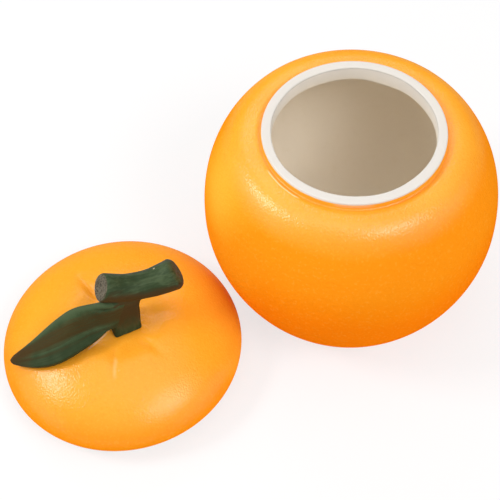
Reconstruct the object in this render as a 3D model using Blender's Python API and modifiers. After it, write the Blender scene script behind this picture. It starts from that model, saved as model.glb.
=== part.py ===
"""Ceramic tea canister shaped like a mandarin orange, standing open with its lid beside it.

Metres, Z up, table at z = 0. The middle of the footprint is the origin.
"""

import math

import bmesh
import bpy
from mathutils import Vector

COLLECTION_NAME = "tea_canister"
HELPERS_NAME = "tea_canister_cutters"

# Jar, from the mouth outwards and from the table up
NECK_RADIUS = 0.0288  # inside of the mouth
COLLAR_WALL = 0.0034  # of the collar round the mouth
COLLAR_HEIGHT = 0.0026  # above the ledge
COLLAR_EDGE = 0.0004  # rounding of the rim
LEDGE_WIDTH = 0.0040  # of the level ledge that the lid lands on
SHOULDER_TURN = 0.0081  # width of the soft turn from the ledge to the side
BELLY_SWELL = 0.0097  # the widest ring stands this far outside the shoulder
BELLY_HEIGHT = 0.0460  # of the widest ring
SHOULDER_RISE = 0.0350  # of the shoulder above the widest ring
LEDGE_RISE = 0.0046  # of the ledge above the shoulder
BELLY_LOWER_POWER = 1.85  # roundness of the side below the widest ring
BELLY_UPPER_POWER = 2.30  # roundness of the side above it
JAR_WALL = 0.0045  # thickness of the cast wall
JAR_FLOOR = 0.0050  # thickness of the bottom
FOOT_RADIUS = 0.0332  # where the side meets the foot
FOOT_EDGE = 0.0014  # rounded edge of the foot
FOOT_RING_WIDTH = 0.0058
FOOT_HOLLOW = 0.0020  # depth of the hollow inside the foot ring

COLLAR_RADIUS = NECK_RADIUS + COLLAR_WALL
LEDGE_RADIUS = COLLAR_RADIUS + LEDGE_WIDTH
SHOULDER_RADIUS = LEDGE_RADIUS + SHOULDER_TURN
JAR_RADIUS = SHOULDER_RADIUS + BELLY_SWELL
SHOULDER_HEIGHT = BELLY_HEIGHT + SHOULDER_RISE
LEDGE_HEIGHT = SHOULDER_HEIGHT + LEDGE_RISE
RIM_HEIGHT = LEDGE_HEIGHT + COLLAR_HEIGHT
HOLLOW_RADIUS = FOOT_RADIUS - FOOT_EDGE - FOOT_RING_WIDTH

# Twig and the post that it stands on
POST_WIDTH = 0.0106
POST_DEPTH = 0.0094
POST_TURN = math.radians(22.8)  # direction of the broad face
POST_OFFSET_X = 0.0024  # middle of the post from the middle of the lid
POST_OFFSET_Y = -0.0016
POST_LEAN = 0.09  # run along the broad face for each unit of height
POST_LEAN_BACK = 0.13
POST_FLARE = 0.0024  # widening into the twig
POST_FLARE_START = 0.62  # height of the flare over the height of the post
POST_CORNER = 0.0013
TWIG_RADIUS = 0.0053
TWIG_FLARE = 1.03  # radius of the far end over that of the near end
TWIG_LENGTH = 0.0284  # between the centres of its ends, in plan
TWIG_TURN = math.radians(14.9)
TWIG_HEIGHT = 0.0184  # of the middle of its axis above the navel floor
TWIG_RISE_NEAR = 0.0054  # of the end over the leaf, above the middle
TWIG_RISE_FAR = 0.0021
TWIG_AHEAD = 0.0086  # middle of the twig beyond the post, along the twig
TWIG_BACK = 0.0024  # axis of the twig behind the middle of the post's foot
TWIG_END_ROUND = 0.0015

# Lid, fitted to the collar and the ledge of the jar
FIT_CLEARANCE = 0.0003  # between pieces that touch
LID_COLLAR_GAP = 0.0022  # between the collar and the edge of the lid
LID_EDGE_WIDTH = 0.0056  # of the level edge that lands on the ledge
LID_OVERHANG = 0.0053  # the widest ring stands this far outside the edge
LID_UNDERCUT = 0.0060  # height of the widest ring above the edge
LID_EDGE_TURN = 0.0020  # how far below the widest ring the edge turns under
LID_WALL = 0.0043
DOME_RISE = 0.0185  # of a plain dome above the widest ring
DOME_POWER = 1.93
NAVEL_MARGIN = 0.0002  # level floor of the navel round the post
NAVEL_DEPTH = 0.0026  # below the plain dome
NAVEL_SLOPE = 0.0105  # width of the slope from the navel to the dome
CREASE_COUNT = 7
CREASE_DEPTH = 0.0008
CREASE_LENGTH = 0.0180
CREASE_TURN = math.radians(-92.0)  # direction of the first crease

EDGE_INNER_RADIUS = COLLAR_RADIUS + LID_COLLAR_GAP
EDGE_OUTER_RADIUS = EDGE_INNER_RADIUS + LID_EDGE_WIDTH
LID_RADIUS = EDGE_OUTER_RADIUS + LID_OVERHANG
POST_REACH = 0.5 * math.hypot(POST_WIDTH, POST_DEPTH) + math.hypot(POST_OFFSET_X, POST_OFFSET_Y)
NAVEL_RADIUS = POST_REACH + NAVEL_MARGIN

# Plug under the lid and the seal ring in its groove
SEAL_REACH = 0.0025  # between the plug and the neck
PLUG_DROP = 0.0040  # the plug reaches this far below the edge
PLUG_WALL = 0.0043
PLUG_EDGE = 0.0006
GROOVE_HEIGHT = 0.0030
GROOVE_DEPTH = 0.0018
GROOVE_LIFT = 0.0016  # underside of the groove above the end of the plug
SEAL_LIP_EDGE = 0.0007

PLUG_RADIUS = NECK_RADIUS - SEAL_REACH
GROOVE_RADIUS = PLUG_RADIUS - GROOVE_DEPTH

# Leaf, laid over the dome
LEAF_THICK = 0.0030
LEAF_BASE_X = -0.0030  # inner end of the midrib from the middle of the post
LEAF_BASE_Y = 0.0001
LEAF_BASE_DROP = 0.0105  # of the midrib's inner end below the twig
LEAF_TIP_INSET = 0.0041  # of the tip inside the widest ring of the lid
LEAF_TIP_TURN = math.radians(-162.9)
LEAF_TIP_GAP = 0.0017  # between the tip and the dome
LEAF_SETTLE = 2.0  # how soon the leaf comes down to the dome
LEAF_BOW = 0.0036  # of the midrib sideways
LEAF_NEAR_WIDTH = 0.0059
LEAF_NEAR_BASE = 0.52  # width at the post over the full width
LEAF_NEAR_PEAK = 1.31  # above 1 the widest place moves to the tip
LEAF_NEAR_DROOP = math.radians(44.0)  # of the near half at the post
LEAF_NEAR_TIP_DROOP = math.radians(21.0)
LEAF_NEAR_EASE = 4.4  # how soon the droop eases off
LEAF_FAR_WIDTH = 0.0067
LEAF_FAR_BASE = 0.93
LEAF_FAR_PEAK = 0.94
LEAF_FAR_LIFT = math.radians(88.0)  # of the far half at the post
LEAF_FAR_TIP_LIFT = math.radians(-9.8)
LEAF_FAR_EASE = 1.38
LEAF_TIP_WIDTH = 0.0012

# Lid beside the jar
LID_TUCK = 0.0048  # the edge of the lid lies this far under the belly
LID_BEARING = math.radians(201.1)  # of the lid, seen from the jar

LID_APART = JAR_RADIUS + LID_RADIUS - LID_TUCK

# Fineness of the meshes
TURN_STEPS = 48
BELLY_POINTS = 7
TURN_POINTS = 4
DOME_POINTS = 11
LEAF_LONG_STEPS = 12
LEAF_CROSS_STEPS = 6
TWIG_STEPS = 8


def clear_scene() -> None:
    """Removes every object that is in the scene at the start."""
    for item in list(bpy.data.objects):
        bpy.data.objects.remove(item, do_unlink=True)


def new_collection(name: str) -> bpy.types.Collection:
    """Returns a new collection linked to the scene."""
    made = bpy.data.collections.new(name)
    bpy.context.scene.collection.children.link(made)
    return made


def new_material(name: str, colour: tuple, roughness: float, metallic: float) -> bpy.types.Material:
    """Returns a Principled material of one colour."""
    made = bpy.data.materials.new(name)
    made.use_nodes = True
    shader = made.node_tree.nodes["Principled BSDF"]
    shader.inputs["Base Color"].default_value = (*colour, 1.0)
    shader.inputs["Roughness"].default_value = roughness
    shader.inputs["Metallic"].default_value = metallic
    made.diffuse_color = (*colour, 1.0)
    return made


def new_empty(name: str, location: Vector, group: bpy.types.Collection) -> bpy.types.Object:
    """Returns an empty that pieces are hung on."""
    made = bpy.data.objects.new(name, None)
    made.location = location
    made.empty_display_size = 0.01
    group.objects.link(made)
    return made


def new_object(name: str, mesh: bpy.types.Mesh, group: bpy.types.Collection) -> bpy.types.Object:
    """Returns a smooth-shaded object for the mesh."""
    mesh.name = name
    mesh.shade_smooth()
    made = bpy.data.objects.new(name, mesh)
    group.objects.link(made)
    return made


def hide_helper(item: bpy.types.Object) -> None:
    """Keeps a cutter out of the render."""
    item.hide_render = True
    item.display_type = "WIRE"


def swell(widest: tuple, end: tuple, power: float, count: int) -> list:
    """Returns (radius, height) points of a rounded side from its widest ring to its end."""
    reach = 1.0 - (end[0] / widest[0]) ** power
    found = []
    for step in range(count + 1):
        part = step / count
        radius = widest[0] * (1.0 - reach * part**power) ** (1.0 / power)
        found.append((radius, widest[1] + (end[1] - widest[1]) * part))
    return found


def rounded(start: tuple, corner: tuple, end: tuple, count: int) -> list:
    """Returns points of a smooth turn from start to end that leans on the corner."""
    found = []
    for step in range(count + 1):
        part = step / count
        weights = ((1.0 - part) ** 2, 2.0 * part * (1.0 - part), part**2)
        found.append(
            tuple(sum(w * p[axis] for w, p in zip(weights, (start, corner, end))) for axis in range(2))
        )
    return found


def inset(points: list, distance: float) -> list:
    """Returns the points moved to the left of their direction of travel by the distance."""
    found = []
    for place, point in enumerate(points):
        before = points[max(place - 1, 0)]
        after = points[min(place + 1, len(points) - 1)]
        run = (after[0] - before[0], after[1] - before[1])
        length = math.hypot(*run)
        found.append((point[0] - run[1] / length * distance, point[1] + run[0] / length * distance))
    return found


def without_repeats(points: list) -> list:
    """Returns the points with each one that repeats its neighbour left out."""
    found = [points[0]]
    for point in points[1:]:
        if math.dist(point, found[-1]) > 1e-6:
            found.append(point)
    return found


def turned_mesh(name: str, profile: list, closed: bool) -> bpy.types.Mesh:
    """Returns the mesh made by turning a (radius, height) profile round Z."""
    points = without_repeats(profile)
    edges = [(place, place + 1) for place in range(len(points) - 1)]
    if closed:
        edges.append((len(points) - 1, 0))
    outline = bpy.data.meshes.new(f"{name}_outline")
    outline.from_pydata([(radius, 0.0, height) for radius, height in points], edges, [])
    lathe = bpy.data.objects.new(f"{name}_lathe", outline)
    bpy.context.scene.collection.objects.link(lathe)
    screw = lathe.modifiers.new("turn", "SCREW")
    screw.axis = "Z"
    screw.angle = 2.0 * math.pi
    screw.steps = TURN_STEPS
    screw.render_steps = TURN_STEPS
    screw.use_merge_vertices = True
    screw.merge_threshold = 0.00001
    made = baked_mesh(lathe)
    bpy.data.objects.remove(lathe, do_unlink=True)
    return made


def baked_mesh(item: bpy.types.Object) -> bpy.types.Mesh:
    """Returns a mesh of the object with its modifiers applied."""
    graph = bpy.context.evaluated_depsgraph_get()
    return bpy.data.meshes.new_from_object(item.evaluated_get(graph))


# Jar


def jar_outer_side() -> tuple:
    """Returns the outside of the jar as (from the belly up to the ledge, from the belly down to the foot)."""
    widest = (JAR_RADIUS, BELLY_HEIGHT)
    shoulder = (SHOULDER_RADIUS, SHOULDER_HEIGHT)
    upper = swell(widest, shoulder, BELLY_UPPER_POWER, BELLY_POINTS)
    slope = (upper[-1][0] - upper[-2][0]) / (upper[-1][1] - upper[-2][1])
    corner = (max(SHOULDER_RADIUS + slope * LEDGE_RISE, LEDGE_RADIUS), LEDGE_HEIGHT)
    turn = rounded(shoulder, corner, (LEDGE_RADIUS, LEDGE_HEIGHT), TURN_POINTS)
    lower = swell(widest, (FOOT_RADIUS, FOOT_EDGE), BELLY_LOWER_POWER, BELLY_POINTS)
    return upper[:-1] + turn, lower


def jar_profile() -> list:
    """Returns the section of the jar, up its inside and down its outside."""
    upper, lower = jar_outer_side()
    floor = FOOT_HOLLOW + JAR_FLOOR
    inner_side = [p for p in inset(lower[:0:-1] + upper, JAR_WALL) if p[1] > floor + JAR_WALL]
    heel = inner_side[0]
    floor_turn = rounded(heel, (heel[0] - JAR_WALL, floor), (heel[0] - 3.0 * JAR_WALL, floor), 3)
    inside = [(0.0, floor)] + floor_turn[::-1] + inner_side
    neck = [
        (NECK_RADIUS, LEDGE_HEIGHT - JAR_WALL),
        (NECK_RADIUS, RIM_HEIGHT - COLLAR_EDGE),
        (NECK_RADIUS + COLLAR_EDGE, RIM_HEIGHT),
        (COLLAR_RADIUS - COLLAR_EDGE, RIM_HEIGHT),
        (COLLAR_RADIUS, RIM_HEIGHT - COLLAR_EDGE),
        (COLLAR_RADIUS, LEDGE_HEIGHT),
    ]
    foot = [
        (FOOT_RADIUS - FOOT_EDGE, 0.0),
        (HOLLOW_RADIUS, 0.0),
        (HOLLOW_RADIUS - FOOT_HOLLOW, FOOT_HOLLOW),
        (0.0, FOOT_HOLLOW),
    ]
    return inside + neck + upper[::-1] + lower + foot


def build_jar(group: bpy.types.Collection, stand: bpy.types.Object) -> bpy.types.Object:
    """Builds the cast vessel."""
    made = new_object("jar_body", turned_mesh("jar_body", jar_profile(), False), group)
    made.parent = stand
    made.data.materials.append(new_material("orange_glaze_jar", (0.93, 0.36, 0.02), 0.42, 0.0))
    return made


# Lid


def widest_height() -> float:
    """Returns the height of the lid's widest ring above the end of the plug."""
    return PLUG_DROP + LID_UNDERCUT


def navel_height() -> float:
    """Returns the height of the navel floor above the end of the plug."""
    return widest_height() + DOME_RISE - NAVEL_DEPTH


def eased(value: float, start: float, end: float) -> float:
    """Returns 0 before start, 1 after end, and a smooth step between them."""
    part = min(max((value - start) / (end - start), 0.0), 1.0)
    return part * part * (3.0 - 2.0 * part)


def dome_height(radius: float) -> float:
    """Returns the height of the top of the lid at a radius, with the navel sunk in it."""
    ratio = min(radius / LID_RADIUS, 1.0)
    plain = widest_height() + DOME_RISE * (1.0 - ratio**DOME_POWER) ** (1.0 / DOME_POWER)
    return navel_height() + (plain - navel_height()) * eased(radius, NAVEL_RADIUS, NAVEL_RADIUS + NAVEL_SLOPE)


def crease_depth(radius: float, turn: float) -> float:
    """Returns how far the creases sink the top of the lid at a place."""
    wave = 0.5 + 0.5 * math.cos(CREASE_COUNT * (turn - CREASE_TURN))
    ahead = eased(radius, NAVEL_RADIUS, NAVEL_RADIUS + 0.3 * CREASE_LENGTH)
    behind = 1.0 - eased(radius, NAVEL_RADIUS + 0.3 * CREASE_LENGTH, NAVEL_RADIUS + CREASE_LENGTH)
    return CREASE_DEPTH * wave**3 * ahead * behind


def lid_profile() -> list:
    """Returns the section of the lid, out over its top and in along its underside."""
    widest = widest_height()
    top = []
    for step in range(DOME_POINTS):
        turn = 0.5 * math.pi * step / DOME_POINTS
        radius = NAVEL_RADIUS + (LID_RADIUS - NAVEL_RADIUS) * math.sin(turn)
        top.append((radius, dome_height(radius)))
    top.append((LID_RADIUS, widest))
    turn_under = (LID_RADIUS, widest - LID_EDGE_TURN)
    under = rounded((LID_RADIUS, widest), turn_under, (EDGE_OUTER_RADIUS, PLUG_DROP), TURN_POINTS)
    plug_in = PLUG_RADIUS - PLUG_WALL
    ceiling = [p for p in inset(top, -LID_WALL) if p[1] > widest]
    inside = [p for p in ceiling if p[0] < plug_in - LID_WALL]
    outside = [p for p in ceiling if p[0] > PLUG_RADIUS + LID_WALL]
    groove = GROOVE_LIFT + GROOVE_HEIGHT
    plug = [
        (plug_in, inside[-1][1]),
        (plug_in, PLUG_EDGE),
        (plug_in + PLUG_EDGE, 0.0),
        (PLUG_RADIUS - PLUG_EDGE, 0.0),
        (PLUG_RADIUS, PLUG_EDGE),
        (PLUG_RADIUS, GROOVE_LIFT),
        (GROOVE_RADIUS, GROOVE_LIFT),
        (GROOVE_RADIUS, groove),
        (PLUG_RADIUS, groove),
        (PLUG_RADIUS, outside[0][1]),
    ]
    skirt = rounded(
        (LID_RADIUS - LID_WALL, widest),
        (LID_RADIUS - LID_WALL, PLUG_DROP + LID_UNDERCUT / 3.0),
        (EDGE_INNER_RADIUS, PLUG_DROP),
        TURN_POINTS - 1,
    )
    hollow = [(0.0, inside[0][1])] + inside + plug + outside + skirt
    return [(0.0, navel_height())] + top + under + hollow[::-1]


def crease_top(mesh: bpy.types.Mesh) -> None:
    """Sinks the creases into the top of the lid."""
    for vertex in mesh.vertices:
        radius = math.hypot(vertex.co.x, vertex.co.y)
        if vertex.co.z > dome_height(radius) - 0.00001:
            vertex.co.z -= crease_depth(radius, math.atan2(vertex.co.y, vertex.co.x))


def build_lid(group: bpy.types.Collection, axis: bpy.types.Object) -> bpy.types.Object:
    """Builds the domed lid with its plug."""
    mesh = turned_mesh("lid_shell", lid_profile(), False)
    crease_top(mesh)
    made = new_object("lid_shell", mesh, group)
    made.parent = axis
    made.data.materials.append(new_material("orange_glaze_lid", (0.93, 0.37, 0.02), 0.42, 0.0))
    return made


def build_seal(group: bpy.types.Collection, axis: bpy.types.Object) -> bpy.types.Object:
    """Builds the soft ring that sits in the groove and reaches to the neck of the jar."""
    inner = GROOVE_RADIUS + FIT_CLEARANCE
    outer = NECK_RADIUS - FIT_CLEARANCE
    low = GROOVE_LIFT + FIT_CLEARANCE
    high = GROOVE_LIFT + GROOVE_HEIGHT - FIT_CLEARANCE
    profile = [
        (inner, low),
        (inner, high),
        (outer - SEAL_LIP_EDGE, high),
        (outer, high - SEAL_LIP_EDGE),
        (outer, low + SEAL_LIP_EDGE),
        (outer - SEAL_LIP_EDGE, low),
    ]
    made = new_object("seal_ring", turned_mesh("seal_ring", profile, True), group)
    made.parent = axis
    made.data.materials.append(new_material("white_silicone", (0.80, 0.80, 0.78), 0.55, 0.0))
    return made


# Twig, post and leaf


def post_axis(height: float) -> Vector:
    """Returns the middle of the post at a height above the navel floor."""
    lean = POST_LEAN * height
    back = POST_LEAN_BACK * height
    return Vector(
        (
            POST_OFFSET_X + lean * math.cos(POST_TURN) - back * math.sin(POST_TURN),
            POST_OFFSET_Y + lean * math.sin(POST_TURN) + back * math.cos(POST_TURN),
            navel_height() + height,
        )
    )


def post_mesh(name: str, grow: float) -> bpy.types.Mesh:
    """Returns the post as a leaning block that flares into the twig, larger all round by grow."""
    shape = bmesh.new()
    bmesh.ops.create_cube(shape, size=1.0)
    upright = [edge for edge in shape.edges if abs(edge.verts[0].co.z - edge.verts[1].co.z) > 0.5]
    bmesh.ops.bevel(
        shape,
        geom=upright,
        offset=POST_CORNER / POST_DEPTH,
        segments=2,
        profile=0.5,
        affect="EDGES",
        clamp_overlap=True,
    )
    upright = [edge for edge in shape.edges if abs(edge.verts[0].co.z - edge.verts[1].co.z) > 0.5]
    bmesh.ops.subdivide_edges(shape, edges=upright, cuts=5, use_grid_fill=True)
    tall = TWIG_HEIGHT - FIT_CLEARANCE + 2.0 * grow
    across = Vector((math.cos(POST_TURN), math.sin(POST_TURN), 0.0))
    through = Vector((-math.sin(POST_TURN), math.cos(POST_TURN), 0.0))
    for vertex in shape.verts:
        up = vertex.co.z + 0.5
        wide = POST_WIDTH + 2.0 * grow
        flare = max((up - POST_FLARE_START) / (1.0 - POST_FLARE_START), 0.0) ** 2
        shift = POST_FLARE * flare if vertex.co.x > 0.0 else 0.0
        side = vertex.co.x * wide + shift
        deep = vertex.co.y * (POST_DEPTH + 2.0 * grow)
        middle = post_axis(FIT_CLEARANCE - grow + up * tall)
        vertex.co = middle + across * side + through * deep
    bmesh.ops.recalc_face_normals(shape, faces=shape.faces)
    made = bpy.data.meshes.new(name)
    shape.to_mesh(made)
    shape.free()
    return made


def twig_points() -> list:
    """Returns the axis of the twig as its end over the leaf, its middle and its far end."""
    along = Vector((math.cos(TWIG_TURN), math.sin(TWIG_TURN), 0.0))
    back = Vector((-math.sin(TWIG_TURN), math.cos(TWIG_TURN), 0.0))
    middle = Vector((POST_OFFSET_X, POST_OFFSET_Y, navel_height() + TWIG_HEIGHT))
    middle += along * TWIG_AHEAD + back * TWIG_BACK
    near = middle - along * 0.5 * TWIG_LENGTH + Vector((0.0, 0.0, TWIG_RISE_NEAR))
    far = middle + along * 0.5 * TWIG_LENGTH + Vector((0.0, 0.0, TWIG_RISE_FAR))
    return [near, middle, far]


def twig_axis(part: float) -> Vector:
    """Returns a place on the bent axis of the twig, from 0 over the leaf to 1 at its far end."""
    near, middle, far = twig_points()
    pull = 2.0 * middle - 0.5 * (near + far)
    return near * (1.0 - part) ** 2 + pull * 2.0 * part * (1.0 - part) + far * part**2


def twig_radius(part: float) -> float:
    """Returns the radius of the twig at a place on its axis, rounded off at both ends."""
    near, middle, far = twig_points()
    long = (middle - near).length + (far - middle).length
    inward = min(min(part, 1.0 - part) * long, TWIG_END_ROUND)
    sunk = TWIG_END_ROUND - math.sqrt(TWIG_END_ROUND**2 - (TWIG_END_ROUND - inward) ** 2)
    return TWIG_RADIUS * (1.0 + (TWIG_FLARE - 1.0) * part**2) - sunk


def twig_stations() -> list:
    """Returns the places on the axis where the twig has a ring of points."""
    near, middle, far = twig_points()
    edge = TWIG_END_ROUND / ((middle - near).length + (far - middle).length)
    body = [edge + (1.0 - 2.0 * edge) * step / TWIG_STEPS for step in range(TWIG_STEPS + 1)]
    return [0.0, 0.3 * edge] + body + [1.0 - 0.3 * edge, 1.0]


def twig_mesh(name: str) -> bpy.types.Mesh:
    """Returns the twig as a bent rod with rounded ends."""
    curve = bpy.data.curves.new(name, "CURVE")
    curve.dimensions = "3D"
    curve.bevel_depth = 1.0
    curve.bevel_resolution = 5
    curve.use_fill_caps = True
    line = curve.splines.new("POLY")
    stations = twig_stations()
    line.points.add(len(stations) - 1)
    for knot, part in zip(line.points, stations):
        knot.co = (*twig_axis(part), 1.0)
        knot.radius = twig_radius(part)
    rod = bpy.data.objects.new(name, curve)
    bpy.context.scene.collection.objects.link(rod)
    made = baked_mesh(rod)
    bpy.data.objects.remove(rod, do_unlink=True)
    shape = bmesh.new()
    shape.from_mesh(made)
    bmesh.ops.remove_doubles(shape, verts=shape.verts, dist=0.00001)
    shape.to_mesh(made)
    shape.free()
    return made


def build_handle(
    group: bpy.types.Collection, helpers: bpy.types.Collection, axis: bpy.types.Object
) -> bpy.types.Object:
    """Builds the twig and the post under it as one piece."""
    made = new_object("branch_handle", twig_mesh("branch_handle"), group)
    made.parent = axis
    post = new_object("post", post_mesh("post", 0.0), helpers)
    post.parent = axis
    hide_helper(post)
    join = made.modifiers.new("post", "BOOLEAN")
    join.operation = "UNION"
    join.solver = "EXACT"
    join.object = post
    made.data.materials.append(new_material("green_paint_twig", (0.035, 0.062, 0.035), 0.55, 0.0))
    return made


def leaf_plan(part: float) -> Vector:
    """Returns a place on the midrib seen from above, from 0 inside the post to 1 at the tip."""
    base = Vector((POST_OFFSET_X + LEAF_BASE_X, POST_OFFSET_Y + LEAF_BASE_Y, 0.0))
    tip = Vector((math.cos(LEAF_TIP_TURN), math.sin(LEAF_TIP_TURN), 0.0)) * (LID_RADIUS - LEAF_TIP_INSET)
    run = tip - base
    side = Vector((-run.y, run.x, 0.0)).normalized()
    return base + run * part + side * LEAF_BOW * 4.0 * part * (1.0 - part)


def leaf_midrib(part: float) -> Vector:
    """Returns a place on the midrib, which comes down from the post to lie over the dome."""
    found = leaf_plan(part)
    start = navel_height() + TWIG_HEIGHT - LEAF_BASE_DROP - dome_height(leaf_plan(0.0).length)
    end = 0.5 * LEAF_THICK + LEAF_TIP_GAP
    found.z = dome_height(found.length) + end + (start - end) * (1.0 - part) ** LEAF_SETTLE
    return found


def leaf_width(part: float, full: float, base: float, peak: float) -> float:
    """Returns the width of half the leaf at a place along it."""
    shape = base * (1.0 - part) ** 2 + math.sin(math.pi * part**peak)
    return LEAF_TIP_WIDTH * part + full * shape


def leaf_point(part: float, across: float) -> Vector:
    """Returns a place on the leaf, across running from -1 at the far edge to 1 at the near edge."""
    ahead = leaf_midrib(min(part + 0.02, 1.0)) - leaf_midrib(max(part - 0.02, 0.0))
    near = Vector((-ahead.y, ahead.x, 0.0)).normalized()
    if across > 0.0:
        wide = leaf_width(part, LEAF_NEAR_WIDTH, LEAF_NEAR_BASE, LEAF_NEAR_PEAK)
        lift = -LEAF_NEAR_DROOP * (1.0 - part) ** LEAF_NEAR_EASE - LEAF_NEAR_TIP_DROOP * part
    else:
        wide = leaf_width(part, LEAF_FAR_WIDTH, LEAF_FAR_BASE, LEAF_FAR_PEAK)
        lift = LEAF_FAR_LIFT * (1.0 - part) ** LEAF_FAR_EASE + LEAF_FAR_TIP_LIFT * part
    out = abs(across) * wide
    level = near * math.copysign(out * math.cos(lift), across)
    return leaf_midrib(part) + level + Vector((0.0, 0.0, out * math.sin(lift)))


def build_leaf(
    group: bpy.types.Collection, helpers: bpy.types.Collection, axis: bpy.types.Object
) -> bpy.types.Object:
    """Builds the folded leaf, cut to stand clear of the post."""
    shape = bmesh.new()
    bmesh.ops.create_grid(shape, x_segments=LEAF_LONG_STEPS, y_segments=LEAF_CROSS_STEPS, size=1.0)
    for vertex in shape.verts:
        vertex.co = leaf_point(0.5 * (vertex.co.x + 1.0), vertex.co.y)
    bmesh.ops.recalc_face_normals(shape, faces=shape.faces)
    mesh = bpy.data.meshes.new("leaf")
    shape.to_mesh(mesh)
    shape.free()
    made = new_object("leaf", mesh, group)
    made.parent = axis
    thicken = made.modifiers.new("thick", "SOLIDIFY")
    thicken.thickness = LEAF_THICK
    thicken.offset = 0.0
    soften = made.modifiers.new("soft", "SUBSURF")
    soften.levels = 1
    soften.render_levels = 1
    cutter = new_object("post_clearance", post_mesh("post_clearance", FIT_CLEARANCE), helpers)
    cutter.parent = axis
    hide_helper(cutter)
    cut = made.modifiers.new("post", "BOOLEAN")
    cut.operation = "DIFFERENCE"
    cut.solver = "EXACT"
    cut.object = cutter
    made.data.materials.append(new_material("green_paint_leaf", (0.040, 0.070, 0.040), 0.55, 0.0))
    return made


def build_canister() -> None:
    """Builds the open jar and, beside it, the lid with its seal, twig and leaf."""
    group = new_collection(COLLECTION_NAME)
    helpers = new_collection(HELPERS_NAME)
    apart = Vector((math.cos(LID_BEARING), math.sin(LID_BEARING), 0.0)) * LID_APART
    low = Vector((min(-JAR_RADIUS, apart.x - LID_RADIUS), min(-JAR_RADIUS, apart.y - LID_RADIUS), 0.0))
    high = Vector((max(JAR_RADIUS, apart.x + LID_RADIUS), max(JAR_RADIUS, apart.y + LID_RADIUS), 0.0))
    jar_place = -0.5 * (low + high)
    stand = new_empty("jar_axis", jar_place, group)
    axis = new_empty("lid_axis", jar_place + apart, group)
    build_jar(group, stand)
    build_lid(group, axis)
    build_seal(group, axis)
    build_handle(group, helpers, axis)
    build_leaf(group, helpers, axis)


clear_scene()
build_canister()
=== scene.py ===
"""Dresses the ceramic tea canister: the open orange jar and, beside it, its lid with a twig and a leaf.

Lengths are in metres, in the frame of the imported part: +Z up, +Y away from the camera.
"""

import logging
import math
from dataclasses import dataclass, field
from enum import Enum
from typing import Any, Callable, Dict, List, Optional, Sequence, Tuple, Union

import bpy
from mathutils import Matrix, Vector, noise
from mathutils.kdtree import KDTree


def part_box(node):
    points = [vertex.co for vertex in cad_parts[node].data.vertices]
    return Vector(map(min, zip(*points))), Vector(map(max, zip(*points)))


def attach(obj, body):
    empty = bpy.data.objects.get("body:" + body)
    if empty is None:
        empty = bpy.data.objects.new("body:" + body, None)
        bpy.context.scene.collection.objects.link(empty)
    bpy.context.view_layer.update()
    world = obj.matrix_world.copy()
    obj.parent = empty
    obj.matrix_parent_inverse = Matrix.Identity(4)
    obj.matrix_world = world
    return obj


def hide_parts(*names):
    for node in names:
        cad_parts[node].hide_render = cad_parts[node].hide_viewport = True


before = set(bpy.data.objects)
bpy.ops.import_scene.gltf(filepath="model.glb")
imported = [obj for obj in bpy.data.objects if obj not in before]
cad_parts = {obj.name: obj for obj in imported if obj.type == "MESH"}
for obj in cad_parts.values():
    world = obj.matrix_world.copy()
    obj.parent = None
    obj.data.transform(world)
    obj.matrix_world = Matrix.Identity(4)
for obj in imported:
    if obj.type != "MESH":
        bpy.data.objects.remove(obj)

LOG = logging.getLogger("tea_canister")
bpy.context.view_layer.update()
SAME_POINT = 2e-6
MERGE_REACH = 4e-6
RING_REACH = 5e-5
MIX_FIRST, MIX_SECOND, MIX_RESULT = 6, 7, 2

Point = Tuple[float, float]
Colour = Tuple[float, float, float]
Shades = Tuple[Tuple[float, Colour], ...]
Socket = bpy.types.NodeSocket

WHITE: Colour = (1.0, 1.0, 1.0)


class Body(Enum):
    """Bodies of the part that a piece can ride on."""

    JAR = "jar"
    SEAL = "seal"
    LID = "lid"


class Slot(Enum):
    """Material slots of the part's record."""

    JAR_GLAZE = "jar_glaze"
    LID_GLAZE = "lid_glaze"
    SILICONE = "silicone"
    TWIG_PAINT = "twig_paint"
    LEAF_PAINT = "leaf_paint"


class Cap(Enum):
    """Ends of the twig."""

    OVER_LEAF = -1.0
    FAR = 1.0


# Shader sums


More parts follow.
